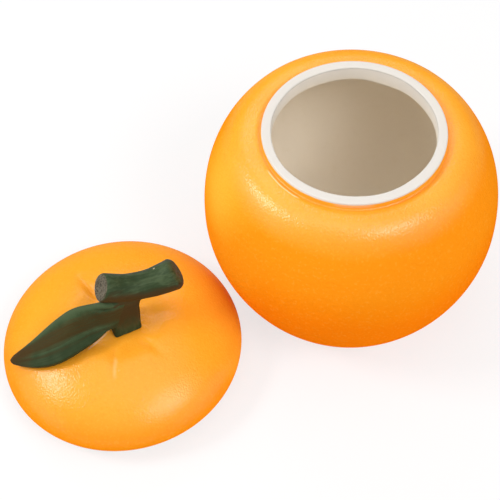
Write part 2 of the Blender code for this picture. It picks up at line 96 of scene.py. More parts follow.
class Value:
    """A number that varies over a surface, held as a socket of a material's nodes."""

    def __init__(self, sheet: "Sheet", socket: Socket) -> None:
        """Wraps an output socket of a sheet."""
        self.sheet = sheet
        self.socket = socket

    def _sum(self, operation: str, first: Any, second: Any) -> "Value":
        """Adds one Math node and returns its result."""
        made = self.sheet.node("ShaderNodeMath", {"operation": operation}, {0: first, 1: second})
        return Value(self.sheet, made.outputs[0])

    def __add__(self, other: Any) -> "Value":
        """Returns self + other."""
        return self._sum("ADD", self, other)

    def __radd__(self, other: Any) -> "Value":
        """Returns other + self."""
        return self._sum("ADD", other, self)

    def __sub__(self, other: Any) -> "Value":
        """Returns self - other."""
        return self._sum("SUBTRACT", self, other)

    def __rsub__(self, other: Any) -> "Value":
        """Returns other - self."""
        return self._sum("SUBTRACT", other, self)

    def __mul__(self, other: Any) -> "Value":
        """Returns self * other."""
        return self._sum("MULTIPLY", self, other)

    def __rmul__(self, other: Any) -> "Value":
        """Returns other * self."""
        return self._sum("MULTIPLY", other, self)

    def __truediv__(self, other: Any) -> "Value":
        """Returns self / other."""
        return self._sum("DIVIDE", self, other)

    def __rtruediv__(self, other: Any) -> "Value":
        """Returns other / self."""
        return self._sum("DIVIDE", other, self)

    def __pow__(self, other: Any) -> "Value":
        """Returns self to the power of other."""
        return self._sum("POWER", self, other)

    def __rpow__(self, other: Any) -> "Value":
        """Returns other to the power of self."""
        return self._sum("POWER", other, self)

    def __abs__(self) -> "Value":
        """Returns the size of self without its sign."""
        return self._sum("ABSOLUTE", self, 0.0)

    def step(self, low: float, high: float) -> "Value":
        """Returns a smooth step of self.

        Args:
            low: where the step is 0; if it is above high, the step falls.
            high: where the step is 1.

        Returns:
            A value from 0 to 1.
        """
        falls = low > high
        made = self.sheet.node(
            "ShaderNodeMapRange",
            {"interpolation_type": "SMOOTHSTEP"},
            {
                "Value": self,
                "From Min": min(low, high),
                "From Max": max(low, high),
                "To Min": 1.0 if falls else 0.0,
                "To Max": 0.0 if falls else 1.0,
            },
        )
        return Value(self.sheet, made.outputs["Result"])


Number = Union[float, Value, Socket]


class Sheet:
    """The nodes of one material, or of the world."""

    def __init__(self, name: str, world: bool = False) -> None:
        """Starts a material, or a world, with nothing but its output.

        Args:
            name: the name of the material or the world.
            world: makes a world in place of a material.
        """
        self.material = (bpy.data.worlds if world else bpy.data.materials).new(name)
        self.material.use_nodes = True
        self.tree = self.material.node_tree
        self.tree.nodes.clear()
        self.output = self.node("ShaderNodeOutputWorld" if world else "ShaderNodeOutputMaterial", {}, {})

    def node(self, kind: str, settings: Dict[str, Any], inputs: Dict[Any, Any]) -> bpy.types.Node:
        """Adds a node.

        Args:
            kind: the node's type.
            settings: its properties, and "stops" for the stops of a ramp.
            inputs: the value or the link of each socket, by its name or number.

        Returns:
            The node.
        """
        made = self.tree.nodes.new(kind)
        for name, setting in settings.items():
            if name == "stops":
                ramp = made.color_ramp
                while len(ramp.elements) < len(setting):
                    ramp.elements.new(1.0)
                for element, (place, colour) in zip(ramp.elements, setting):
                    element.position = place
                    element.color = (*colour, 1.0)
            else:
                setattr(made, name, setting)
        for name, given in inputs.items():
            link = given.socket if isinstance(given, Value) else given
            if isinstance(link, Socket):
                self.tree.links.new(link, made.inputs[name])
            elif isinstance(given, tuple) and len(given) == 3 and made.inputs[name].type == "RGBA":
                made.inputs[name].default_value = (*given, 1.0)
            else:
                made.inputs[name].default_value = given
        return made

    def place(self, centre: Sequence[float] = (0.0, 0.0, 0.0), turn: float = 0.0) -> Socket:
        """Returns the place on the piece.

        Args:
            centre: what the place is measured from.
            turn: how far the axes are turned about Z.

        Returns:
            The place.
        """
        found = self.node("ShaderNodeTexCoord", {}, {}).outputs["Object"]
        moved = self.node("ShaderNodeVectorMath", {"operation": "SUBTRACT"}, {0: found, 1: tuple(centre)})
        if turn == 0.0:
            return moved.outputs[0]
        made = self.node("ShaderNodeMapping", {}, {"Vector": moved.outputs[0], "Rotation": (0.0, 0.0, -turn)})
        return made.outputs[0]

    def axes(self, vector: Socket) -> Tuple[Value, Value, Value]:
        """Returns the three numbers of a vector."""
        made = self.node("ShaderNodeSeparateXYZ", {}, {0: vector})
        return tuple(Value(self, socket) for socket in made.outputs)

    def radius(self, vector: Socket) -> Value:
        """Returns how far a vector reaches from the upright axis."""
        x, y, _ = self.axes(vector)
        return (x * x + y * y) ** 0.5

    def stretched(self, vector: Socket, scale: Sequence[float]) -> Socket:
        """Returns a vector multiplied axis by axis."""
        made = self.node("ShaderNodeVectorMath", {"operation": "MULTIPLY"}, {0: vector, 1: tuple(scale)})
        return made.outputs[0]

    def attribute(self, name: str) -> Value:
        """Returns a number kept on the mesh."""
        made = self.node("ShaderNodeAttribute", {"attribute_name": name}, {})
        return Value(self, made.outputs["Fac"])

    def grain(self, vector: Socket, scale: float, detail: float = 2.0, rough: float = 0.5) -> Value:
        """Returns soft noise from 0 to 1.

        Args:
            vector: where the noise is read.
            scale: cells in a unit of the vector.
            detail: how many finer layers are added.
            rough: strength of the finer layers.

        Returns:
            The noise.
        """
        made = self.node(
            "ShaderNodeTexNoise", {}, {"Vector": vector, "Scale": scale, "Detail": detail, "Roughness": rough}
        )
        return Value(self, made.outputs["Fac"])

    def pebbles(self, vector: Socket, scale: float, soft: float = 0.6) -> Value:
        """Returns the distance to the nearest of scattered cells, rounded off.

        Args:
            vector: where the distance is read.
            scale: cells in a unit of the vector.
            soft: how far the cells melt together.

        Returns:
            The distance.
        """
        made = self.node(
            "ShaderNodeTexVoronoi",
            {"feature": "SMOOTH_F1"},
            {"Vector": vector, "Scale": scale, "Smoothness": soft},
        )
        return Value(self, made.outputs["Distance"])

    def ramp(self, value: Value, stops: Sequence[Tuple[float, Colour]]) -> Socket:
        """Returns a colour that follows a value through stops."""
        made = self.node("ShaderNodeValToRGB", {"stops": list(stops)}, {"Fac": value})
        return made.outputs["Color"]

    def mix(self, factor: Number, first: Any, second: Any) -> Socket:
        """Returns a colour between two colours.

        Args:
            factor: 0 for the first colour, 1 for the second.
            first: a colour or a link.
            second: a colour or a link.

        Returns:
            The mixed colour.
        """
        made = self.node(
            "ShaderNodeMix",
            {"data_type": "RGBA", "clamp_factor": True},
            {0: factor, MIX_FIRST: first, MIX_SECOND: second},
        )
        return made.outputs[MIX_RESULT]

    def layered(self, factor: Number, under: Socket, over: Socket) -> Socket:
        """Returns a shader between two shaders."""
        return self.node("ShaderNodeMixShader", {}, {0: factor, 1: under, 2: over}).outputs[0]

    def bump(self, height: Value, depth: float, under: Optional[Socket] = None) -> Socket:
        """Returns a surface direction bent by a relief.

        Args:
            height: the relief, from 0 to 1.
            depth: its depth.
            under: the surface direction that it is laid on.

        Returns:
            The bent direction.
        """
        inputs: Dict[Any, Any] = {"Height": height, "Distance": depth, "Strength": 1.0}
        if under is not None:
            inputs["Normal"] = under
        return self.node("ShaderNodeBump", {}, inputs).outputs["Normal"]

    def shader(self, **inputs: Any) -> Socket:
        """Adds a Principled shader.

        Args:
            inputs: values or links of its sockets, an underscore for each space; Gloss is its reflection level.

        Returns:
            The shader.
        """
        known = {"Gloss": "Specular IOR Level"}
        named = {known.get(name, name.replace("_", " ")): given for name, given in inputs.items()}
        return self.node("ShaderNodeBsdfPrincipled", {}, named).outputs[0]

    def ended(self, shader: Socket) -> Union[bpy.types.Material, bpy.types.World]:
        """Ends the sheet with a shader and returns its material or world."""
        self.tree.links.new(shader, self.output.inputs["Surface"])
        return self.material


# Finishes


@dataclass(frozen=True)
class OrangeGlaze:
    """Satin orange glaze with a fine pebbled skin, on a piece turned about an upright axis."""

    name: str
    centre: Tuple[float, float, float]
    low: float
    high: float
    shades: Shades
    dry: Point
    gloss: float
    # Painted light: which side is painted paler, by how much, and how far in, to lift the shade there.
    painted_light_turn: float
    painted_light_shift: float
    painted_light_reach: Point
    clay: Colour = (0.82, 0.78, 0.72)
    clay_dust: Colour = (0.70, 0.64, 0.55)
    rim: Colour = (0.725, 0.68, 0.625)
    rim_dust: Colour = (0.72, 0.675, 0.62)
    cream: Colour = (0.99, 0.895, 0.755)
    cream_dust: Colour = (0.90, 0.79, 0.60)
    pale_speck: Colour = (0.99, 0.52, 0.08)
    deep_speck: Colour = (0.84, 0.17, 0.004)
    cloud_scale: float = 22.0
    cloud_shift: float = 0.16
    patch_scale: float = 60.0
    wave_scale: float = 70.0
    wave_depth: float = 0.00012
    fray_scale: float = 260.0
    dust_scale: float = 330.0
    speck_scale: float = 900.0
    pebble_scale: float = 2000.0
    pebble_depth: float = 0.00014
    roughness: float = 0.20
    patchy: float = 0.08
    bare_rough: float = 0.35
    dull: float = 0.9
    glance: Point = (0.14, 0.46)
    glance_loss: float = 0.82

    def height(self, sheet: Sheet) -> Value:
        """Returns the height on the piece, from 0 at its foot to 1 at its top."""
        _, _, up = sheet.axes(sheet.place(self.centre))
        return (up - self.low) / (self.high - self.low)

    def skin(self, sheet: Sheet, bare: Value) -> Socket:
        """Returns the surface direction of the glaze.

        Args:
            sheet: the material's nodes.
            bare: 1 where no orange glaze lies.

        Returns:
            The direction, pebbled under the orange and smooth elsewhere.
        """
        place = sheet.place(self.centre)
        broad = sheet.bump(sheet.grain(place, self.wave_scale, 1.0), self.wave_depth)
        grains = sheet.grain(place, self.pebble_scale, 2.0, 0.55)
        cells = sheet.pebbles(place, 0.62 * self.pebble_scale)
        relief = (grains * 0.6 + cells * 0.5) * (1.0 - bare * 0.85)
        return sheet.bump(relief, self.pebble_depth, broad)

    def frayed(self, sheet: Sheet) -> Value:
        """Returns fine noise about 0, which frays the edges of a coat."""
        return sheet.grain(sheet.place(self.centre), self.fray_scale, 3.0) - 0.5

    def dusted(self, sheet: Sheet) -> Value:
        """Returns the fine dust on bare and plain places, from 0 to 1."""
        return sheet.grain(sheet.place(self.centre), self.dust_scale, 4.0, 0.6)

    def porcelain(self, sheet: Sheet, dust: Value) -> Socket:
        """Returns the white of the bare rim."""
        return sheet.mix(dust.step(0.52, 0.85) * 0.30, self.rim, self.rim_dust)

    def fired(self, sheet: Sheet, colour: Socket, bare: Value) -> bpy.types.Material:
        """Ends a sheet with the shine of the glaze, which fades low down and at a glancing angle.

        Args:
            sheet: the material's nodes.
            colour: the colour of the surface.
            bare: 1 where no orange glaze lies.

        Returns:
            The material: satin on the orange, nearly matt where it is bare.
        """
        patches = sheet.grain(sheet.place(self.centre), self.patch_scale, 2.0)
        satin = self.roughness + (patches - 0.5) * self.patchy + bare * self.bare_rough
        normal = self.skin(sheet, bare)
        shiny = sheet.shader(Base_Color=colour, Roughness=satin, Normal=normal, Gloss=self.gloss)
        matt = sheet.shader(Base_Color=colour, Roughness=self.dull, Normal=normal, Gloss=0.0)
        glance = Value(sheet, sheet.node("ShaderNodeLayerWeight", {}, {"Blend": 0.5}).outputs["Facing"])
        kept = (1.0 - glance.step(*self.glance) * self.glance_loss) * self.height(sheet).step(*self.dry)
        return sheet.ended(sheet.layered(kept, matt, shiny))

    def orange(self, sheet: Sheet) -> Socket:
        """Returns the orange, deeper towards the foot, with soft clouds and fine specks, and painted light that
        makes one side paler to lift its shade.

        Args:
            sheet: the material's nodes.

        Returns:
            The colour.
        """
        place = sheet.place(self.centre)
        clouds = sheet.grain(place, self.cloud_scale, 2.0)
        # Painted light: one side is painted paler, to lift the shade that falls on it.
        ahead, _, _ = sheet.axes(sheet.place(self.centre, math.radians(self.painted_light_turn)))
        painted_lift = ahead.step(*self.painted_light_reach) * self.painted_light_shift
        part = self.height(sheet) + (clouds - 0.5) * self.cloud_shift + painted_lift
        base = sheet.ramp(part, self.shades)
        specks = sheet.grain(place, self.speck_scale, 2.0, 0.6)
        light = sheet.mix(specks.step(0.54, 0.72) * 0.16, base, self.pale_speck)
        return sheet.mix(specks.step(0.46, 0.28) * 0.13, light, self.deep_speck)


@dataclass(frozen=True)
class BrushedPaint:
    """Dark green paint, streaked along one direction, with a brown that the pieces use for painted shade and
    bounce light.
    """

    name: str
    green: Colour = (0.027, 0.047, 0.018)
    pale: Colour = (0.070, 0.102, 0.047)
    brown: Colour = (0.050, 0.031, 0.009)
    bark: Colour = (0.150, 0.126, 0.084)
    pore: Colour = (0.036, 0.028, 0.016)
    chip: Colour = (0.62, 0.52, 0.36)
    shade: Colour = (0.020, 0.030, 0.011)
    roughness: float = 0.52
    gloss: float = 0.12
    ridge_depth: float = 0.00014

    def dried(self, sheet: Sheet, colour: Socket, brush: Value) -> bpy.types.Material:
        """Ends a sheet with the dull shine and the ridges of brushed paint.

        Args:
            sheet: the material's nodes.
            colour: the colour of the paint.
            brush: the strokes of the brush, from 0 to 1.

        Returns:
            The material.
        """
        dull = self.roughness + (brush - 0.5) * 0.25
        ridges = sheet.bump(brush, self.ridge_depth)
        return sheet.ended(sheet.shader(Base_Color=colour, Roughness=dull, Normal=ridges, Gloss=self.gloss))


@dataclass(frozen=True)
class SiliconeRubber:
    """Milky soft rubber."""

    name: str = "white_silicone"
    tint: Colour = (0.80, 0.79, 0.75)
    dust: Colour = (0.66, 0.64, 0.59)
    dust_scale: float = 420.0
    skin_scale: float = 1400.0
    skin_depth: float = 0.00003

    def material(self) -> bpy.types.Material:
        """Makes the rubber's material, with a fine skin and a little dust.

        Returns:
            The material.
        """
        sheet = Sheet(self.name)
        place = sheet.place()
        dust = sheet.grain(place, self.dust_scale, 3.0)
        tint = sheet.mix(dust.step(0.55, 0.80) * 0.35, self.tint, self.dust)
        normal = sheet.bump(sheet.grain(place, self.skin_scale, 2.0), self.skin_depth)
        rubber = sheet.shader(Base_Color=tint, Roughness=0.42 + dust * 0.18, Normal=normal, Subsurface_Weight=0.15)
        return sheet.ended(rubber)


# Modelling by hand


def pick_nothing() -> None:
    """Leaves edit mode and deselects every object."""
    if bpy.context.object is not None and bpy.context.object.mode != "OBJECT":
        bpy.ops.object.mode_set(mode="OBJECT")
    bpy.ops.object.select_all(action="DESELECT")


def pick_only(item: bpy.types.Object) -> None:
    """Makes one object the only one that operators act on.

    Args:
        item: the object.
    """
    pick_nothing()
    item.select_set(True)
    bpy.context.view_layer.objects.active = item


def started(name: str) -> bpy.types.Object:
    """Names the primitive that was just added.

    Args:
        name: its new name.

    Returns:
        The primitive.
    """
    made = bpy.context.object
    made.name = name
    made.data.name = name
    return made


def settle(item: bpy.types.Object) -> None:
    """Moves an object's place, turn and size into its mesh."""
    pick_only(item)
    bpy.ops.object.transform_apply(location=True, rotation=True, scale=True)


def apply_modifier(item: bpy.types.Object, kind: str, **settings: Any) -> None:
    """Adds a modifier to an object and applies it.

    Args:
        item: the object.
        kind: the modifier's type.
        settings: its properties.
    """
    pick_only(item)
    added = item.modifiers.new(kind.lower(), kind)
    for name, setting in settings.items():
        setattr(added, name, setting)
    bpy.ops.object.modifier_apply(modifier=added.name)


def select_where(item: bpy.types.Object, kind: str, test: Callable[[Any], bool]) -> None:
    """Selects parts of a mesh in edit mode.

    Args:
        item: the object that is being edited.
        kind: VERT, EDGE or FACE.
        test: says whether a vertex, edge or face is wanted.
    """
    bpy.ops.mesh.select_mode(type=kind)
    bpy.ops.mesh.select_all(action="DESELECT")
    bpy.ops.object.mode_set(mode="OBJECT")
    mesh = item.data
    elements = {"VERT": mesh.vertices, "EDGE": mesh.edges, "FACE": mesh.polygons}[kind]
    elements.foreach_set("select", [bool(test(element)) for element in elements])
    bpy.ops.object.mode_set(mode="EDIT")


def slice_up(way: Vector, length: float, cuts: int) -> None:
    """Cuts the mesh in edit mode into slices of one thickness.

    Args:
        way: the direction that the slices follow, from the origin.
        length: length of them all.
        cuts: how many slices there are.
    """
    for step in range(1, cuts):
        bpy.ops.mesh.select_all(action="SELECT")
        bpy.ops.mesh.bisect(plane_co=way * (length * step / cuts), plane_no=way)


def knead(item: bpy.types.Object, grain: float, passes: int) -> None:
    """Melts what overlaps in a piece of clay into one skin and softens it.

    Args:
        item: the piece.
        grain: the finest detail that is kept.
        passes: how often the skin is softened.
    """
    apply_modifier(item, "REMESH", mode="VOXEL", voxel_size=grain)
    apply_modifier(item, "SMOOTH", factor=0.5, iterations=passes)


def smooth(item: bpy.types.Object, angle: float = 50.0) -> None:
    """Shades an object smooth, apart from edges sharper than an angle in degrees."""
    pick_only(item)
    bpy.ops.object.shade_smooth_by_angle(angle=math.radians(angle))


def eased(value: float, start: float, end: float) -> float:
    """Returns 0 before start, 1 after end, and a smooth step between them."""
    part = min(max((value - start) / (end - start), 0.0), 1.0)
    return part * part * (3.0 - 2.0 * part)


def swell(widest: Point, end: Point, power: float, count: int) -> List[Point]:
    """Returns the points of a rounded side.

    Args:
        widest: radius and height of the widest ring.
        end: radius and height of the other end.
        power: roundness.
        count: how many steps there are.

    Returns:
        Points from the widest ring to the end.
    """
    reach = 1.0 - (end[0] / widest[0]) ** power
    found = []
    for step in range(count + 1):
        part = math.sin(0.5 * math.pi * step / count)
        radius = widest[0] * (1.0 - reach * part**power) ** (1.0 / power)
        found.append((radius, widest[1] + (end[1] - widest[1]) * part))
    return found


def rounded(start: Point, corner: Point, end: Point, count: int) -> List[Point]:
    """Returns the points of a smooth turn.

    Args:
        start: where the turn starts.
        corner: what it leans on.
        end: where it ends.
        count: how many steps there are.

    Returns:
        Points from the start to the end.
    """
    found = []
    for step in range(count + 1):
        part = step / count
        weights = ((1.0 - part) ** 2, 2.0 * part * (1.0 - part), part**2)
        turn = (start, corner, end)
        found.append(tuple(sum(w * p[axis] for w, p in zip(weights, turn)) for axis in range(2)))
    return found


def softened(corners: Sequence[Tuple[float, float, float]], count: int = 5) -> List[Point]:
    """Returns a line through corners, each rounded off.

    Args:
        corners: radius and height of each corner, and how far from it the rounding starts.
        count: steps of each rounding.

    Returns:
        The points of the line.
    """
    found: List[Point] = []
    for place, (x, z, soft) in enumerate(corners):
        if soft == 0.0:
            found.append((x, z))
            continue
        ends = []
        for other in (corners[place - 1], corners[place + 1]):
            run = Vector((other[0] - x, other[1] - z))
            ends.append(tuple(Vector((x, z)) + run.normalized() * min(soft, 0.5 * run.length)))
        found += rounded(ends[0], (x, z), ends[1], count)
    return found


def inset(points: Sequence[Point], distance: float) -> List[Point]:
    """Returns a line moved sideways.

    Args:
        points: the line.
        distance: how far to the left of their direction of travel the points move.

    Returns:
        The moved points.
    """
    found = []
    for place, point in enumerate(points):
        before = points[max(place - 1, 0)]
        after = points[min(place + 1, len(points) - 1)]
        run = (after[0] - before[0], after[1] - before[1])
        length = math.hypot(*run)
        found.append((point[0] - run[1] / length * distance, point[1] + run[0] / length * distance))
    return found


def turned(name: str, section: Sequence[Point], axis: Point, steps: int = 240) -> bpy.types.Object:
    """Models a turned piece: one point is extruded along the section, and the line is spun.

    Args:
        name: the piece's name.
        section: radius and height of the section's points; a ring's section ends where it starts.
        axis: place of the upright axis.
        steps: steps of the full turn.

    Returns:
        The piece.
    """
    points = [section[0]]
    points += [now for before, now in zip(section, section[1:]) if math.dist(before, now) > SAME_POINT]
    pick_nothing()
    bpy.ops.mesh.primitive_plane_add(size=0.001, location=(axis[0] + points[0][0], axis[1], points[0][1]))
    made = started(name)
    settle(made)
    bpy.ops.object.mode_set(mode="EDIT")
    bpy.ops.mesh.select_all(action="SELECT")
    bpy.ops.mesh.merge(type="CENTER")
    for before, now in zip(points, points[1:]):
        step = (now[0] - before[0], 0.0, now[1] - before[1])
        bpy.ops.mesh.extrude_vertices_move(TRANSFORM_OT_translate={"value": step})
    bpy.ops.mesh.select_all(action="SELECT")
    bpy.ops.mesh.spin(steps=steps, angle=2.0 * math.pi, center=(*axis, 0.0), axis=(0.0, 0.0, 1.0))
    bpy.ops.mesh.select_all(action="SELECT")
    bpy.ops.mesh.remove_doubles(threshold=MERGE_REACH)
    bpy.ops.mesh.normals_make_consistent(inside=False)
    bpy.ops.object.mode_set(mode="OBJECT")
    return made


def keep_numbers(item: bpy.types.Object, name: str, numbers: Sequence[float]) -> None:
    """Keeps a number on each vertex of a mesh, under a name that its material reads."""
    item.data.attributes.new(name, "FLOAT", "POINT").data.foreach_set("value", numbers)


def dress(item: bpy.types.Object, material: bpy.types.Material, body: Body, node: str) -> None:
    """Gives a piece its material, its body and the solid that it stands for.

    Args:
        item: the piece.
        material: its material.
        body: the body that it rides on.
        node: the solid that it replaces.
    """
    item.data.materials.clear()
    item.data.materials.append(material)
    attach(item, body.value)
    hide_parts(node)
    LOG.info("%s: %d faces, rides on %s", item.name, len(item.data.polygons), body.value)


def middle_of(node: str) -> Point:
    """Returns the middle of a solid, seen from above."""
    low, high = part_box(node)
    return (0.5 * (low.x + high.x), 0.5 * (low.y + high.y))


# Jar


@dataclass
class Jar:
    """The cast vessel: foot ring, belly, shoulder ledge, collar and neck."""

    axis: Point = field(default_factory=lambda: middle_of("jar_body"))
    neck_radius: float = 0.0288
    collar_radius: float = 0.0322
    ledge_radius: float = 0.0362
    shoulder_radius: float = 0.0443
    belly_radius: float = 0.0540
    belly_height: float = 0.0460
    shoulder_height: float = 0.0810
    ledge_height: float = 0.0856
    rim_height: float = 0.0882
    wall: float = 0.0045
    floor: float = 0.0070
    foot_radius: float = 0.0332
    foot_edge: float = 0.0014
    hollow_radius: float = 0.0260
    hollow: float = 0.0020
    upper_power: float = 2.30
    lower_power: float = 1.85
    groove: float = 0.00025
    groove_width: float = 0.0012
    groove_end: float = 0.0022
    rim_round: float = 0.0006
    warp_waves: Tuple[Tuple[float, float, float], ...] = ((0.5, 2.0, 0.6), (0.3, 5.0, 1.9), (0.2, 9.0, 0.4))
    warp_out: float = 0.00024
    warp_up: float = 0.0004
    warp_reach: float = 0.0016
    notch_turn: float = math.radians(62.0)
    notch_width: float = 0.22
    notch_depth: float = 0.0009
    # Where the painted highlight and painted shade in the collar's groove, and the painted highlight on the collar
    # wall, lie.
    painted_glint_turn: float = math.radians(-142.0)
    painted_sheen_turn: float = math.radians(-95.0)
    bright_wall: Colour = (0.995, 0.50, 0.040)
    pooled: Colour = (0.93, 0.27, 0.012)
    # Colours of the painted highlight and painted shade in the collar's groove, and of the painted highlight on
    # the collar wall.
    painted_glint_colour: Colour = (1.0, 0.78, 0.46)
    painted_groove_shade: Colour = (0.90, 0.23, 0.006)
    painted_sheen: Colour = (1.0, 0.56, 0.36)
    neck_white: Colour = (0.92, 0.87, 0.80)
    shades: Shades = (
        (0.00, (0.960, 0.214, 0.002)),
        (0.50, (0.960, 0.220, 0.003)),
        (0.60, (0.962, 0.250, 0.004)),
        (0.70, (0.965, 0.284, 0.007)),
        (0.87, (0.970, 0.292, 0.008)),
        (0.95, (0.980, 0.370, 0.020)),
        (1.00, (0.985, 0.445, 0.036)),
    )

    def outer_side(self) -> Tuple[List[Point], List[Point]]:
        """Works out the outside.

        Returns:
            Points from the belly up to the ledge, and points from the belly down to the foot.
        """
        widest = (self.belly_radius, self.belly_height)
        shoulder = (self.shoulder_radius, self.shoulder_height)
        upper = swell(widest, shoulder, self.upper_power, 30)
        slope = (upper[-1][0] - upper[-2][0]) / (upper[-1][1] - upper[-2][1])
        rise = self.ledge_height - self.shoulder_height
        corner = (self.shoulder_radius + slope * rise, self.ledge_height)
        turn = rounded(shoulder, corner, (self.ledge_radius, self.ledge_height), 16)
        lower = swell(widest, (self.foot_radius, self.foot_edge), self.lower_power, 36)
        return upper[:-1] + turn, lower

    def section(self) -> List[Point]:
        """Works out the section, up the inside and down the outside.

        Returns:
            Radius and height of its points.
        """
        upper, lower = self.outer_side()
        inner = [p for p in inset(lower[:0:-1] + upper, self.wall) if p[1] > self.floor + self.wall]
        heel = inner[0]
        turn = rounded(heel, (heel[0] - self.wall, self.floor), (heel[0] - 3.0 * self.wall, self.floor), 10)
        ledge = self.ledge_height
        neck = softened(
            (
                (*inner[-1], 0.0),
                (self.neck_radius, ledge - self.wall, 0.0018),
                (self.neck_radius, self.rim_height, self.rim_round),
                (self.collar_radius, self.rim_height, self.rim_round),
                (self.collar_radius, ledge - self.groove, 0.0010),
                (self.collar_radius + self.groove_width, ledge - self.groove, 0.0007),
                (self.collar_radius + self.groove_end, ledge, 0.0008),
                (self.ledge_radius, ledge, 0.0),
            ),
            7,
        )
        foot = softened(
            (
                (*lower[-1], 0.0),
                (self.foot_radius - self.foot_edge, 0.0, 0.0008),
                (self.hollow_radius, 0.0, 0.0007),
                (self.hollow_radius - self.hollow, self.hollow, 0.0010),
                (0.0, self.hollow, 0.0),
            )
        )
        inside = [(0.0, self.floor)] + turn[::-1] + inner
        return inside + neck[1:] + upper[::-1][1:] + lower[1:] + foot[1:]

    def warp_neck(self, item: bpy.types.Object) -> None:
        """Lets the mouth and the lower edge of the neck run a little uneven, as trimmed clay does.

        Args:
            item: the jar.
        """
        middle = 0.5 * (self.neck_radius + self.collar_radius)
        lower = self.ledge_height - self.wall
        for vertex in item.data.vertices:
            across = Vector((vertex.co.x - self.axis[0], vertex.co.y - self.axis[1]))
            if across.length > middle or vertex.co.z < lower - 0.006:
                continue
            turn = math.atan2(across.y, across.x)
            wave = sum(amount * math.sin(count * turn + start) for amount, count, start in self.warp_waves)
            near = math.exp(-(((vertex.co.z - lower) / self.warp_reach) ** 2))
            high = eased(vertex.co.z, lower - 0.002, self.ledge_height)
            out = across.normalized() * wave * self.warp_out * high
            notch = math.exp(-(((turn - self.notch_turn) / self.notch_width) ** 2))
            vertex.co += Vector((out.x, out.y, near * (self.warp_up * wave - self.notch_depth * notch)))

    def lined(self, place: Vector) -> float:
        """Says whether a place is on the inside.

        Args:
            place: a place on the jar.

        Returns:
            1 on the inside, up to the middle of the rim, and 0 outside.
        """
        radius = math.hypot(place.x - self.axis[0], place.y - self.axis[1])
        if place.z > self.ledge_height - 0.0015:
            return 1.0 if radius < 0.5 * (self.neck_radius + self.collar_radius) else 0.0
        if place.z < self.floor - 0.0005:
            return 0.0
        if place.z > self.shoulder_height - 0.0001:
            depth = self.ledge_height - 0.6 * self.wall
            return 1.0 if place.z < depth and radius < self.shoulder_radius - 0.4 * self.wall else 0.0
        upper = place.z > self.belly_height
        end = (self.shoulder_radius, self.shoulder_height) if upper else (self.foot_radius, self.foot_edge)
        power = self.upper_power if upper else self.lower_power
        part = abs(place.z - self.belly_height) / abs(end[1] - self.belly_height)
        reach = 1.0 - (end[0] / self.belly_radius) ** power
        outside = self.belly_radius * (1.0 - reach * part**power) ** (1.0 / power)
        return 1.0 if radius < outside - 0.45 * self.wall else 0.0

    def marked(self, sheet: Sheet, finish: OrangeGlaze) -> Socket:
        """Returns the orange with the marks around the collar, some of them painted highlight and painted shade.

        Args:
            sheet: the material's nodes.
            finish: the glaze.

        Returns:
            The colour: brighter up the wall, deeper where it pooled, with a short painted highlight beside a
                painted shade line in the groove, and a pale painted highlight on the front of the collar wall.
        """
        place = sheet.place(finish.centre)
        _, y, up = sheet.axes(place)
        radius = sheet.radius(place)
        ragged = finish.frayed(sheet)
        colour = finish.orange(sheet)
        wall = abs(radius - self.collar_radius).step(0.0006, 0.0003) * up.step(0.0858, 0.0864)
        colour = sheet.mix(wall * 0.6, colour, self.bright_wall)
        pooled = abs(radius - (self.collar_radius + 0.0007)).step(0.0009, 0.0) * up.step(0.084, 0.0845)
        colour = sheet.mix(pooled * 0.50, colour, self.pooled)
        # Painted highlight: a short pale streak in the groove at the collar's foot, where a lamp would glint.
        ahead, side, _ = sheet.axes(sheet.place(finish.centre, self.painted_glint_turn))
        arc = abs(side).step(0.0086, 0.0066) * ahead.step(0.0, 0.002) * up.step(0.0848, 0.0852)
        painted_glint = arc * abs(radius + ragged * 0.0005 - self.collar_radius - 0.0015).step(0.00040, 0.00012)
        colour = sheet.mix(painted_glint * 0.70, colour, self.painted_glint_colour)
        # Painted shade: a dark line in the groove beside the painted highlight.
        painted_shade_line = arc * abs(radius + ragged * 0.0004 - self.collar_radius - 0.0007).step(0.00040, 0.00010)
        colour = sheet.mix(painted_shade_line * 0.55, colour, self.painted_groove_shade)
        # Painted highlight: a pale pink sheen on the front of the collar wall.
        _, side, _ = sheet.axes(sheet.place(finish.centre, self.painted_sheen_turn))
        painted_sheen = wall * abs(side + ragged * 0.004).step(0.0080, 0.0040) * y.step(0.0, -0.002)
        return sheet.mix(painted_sheen * 0.45, colour, self.painted_sheen)

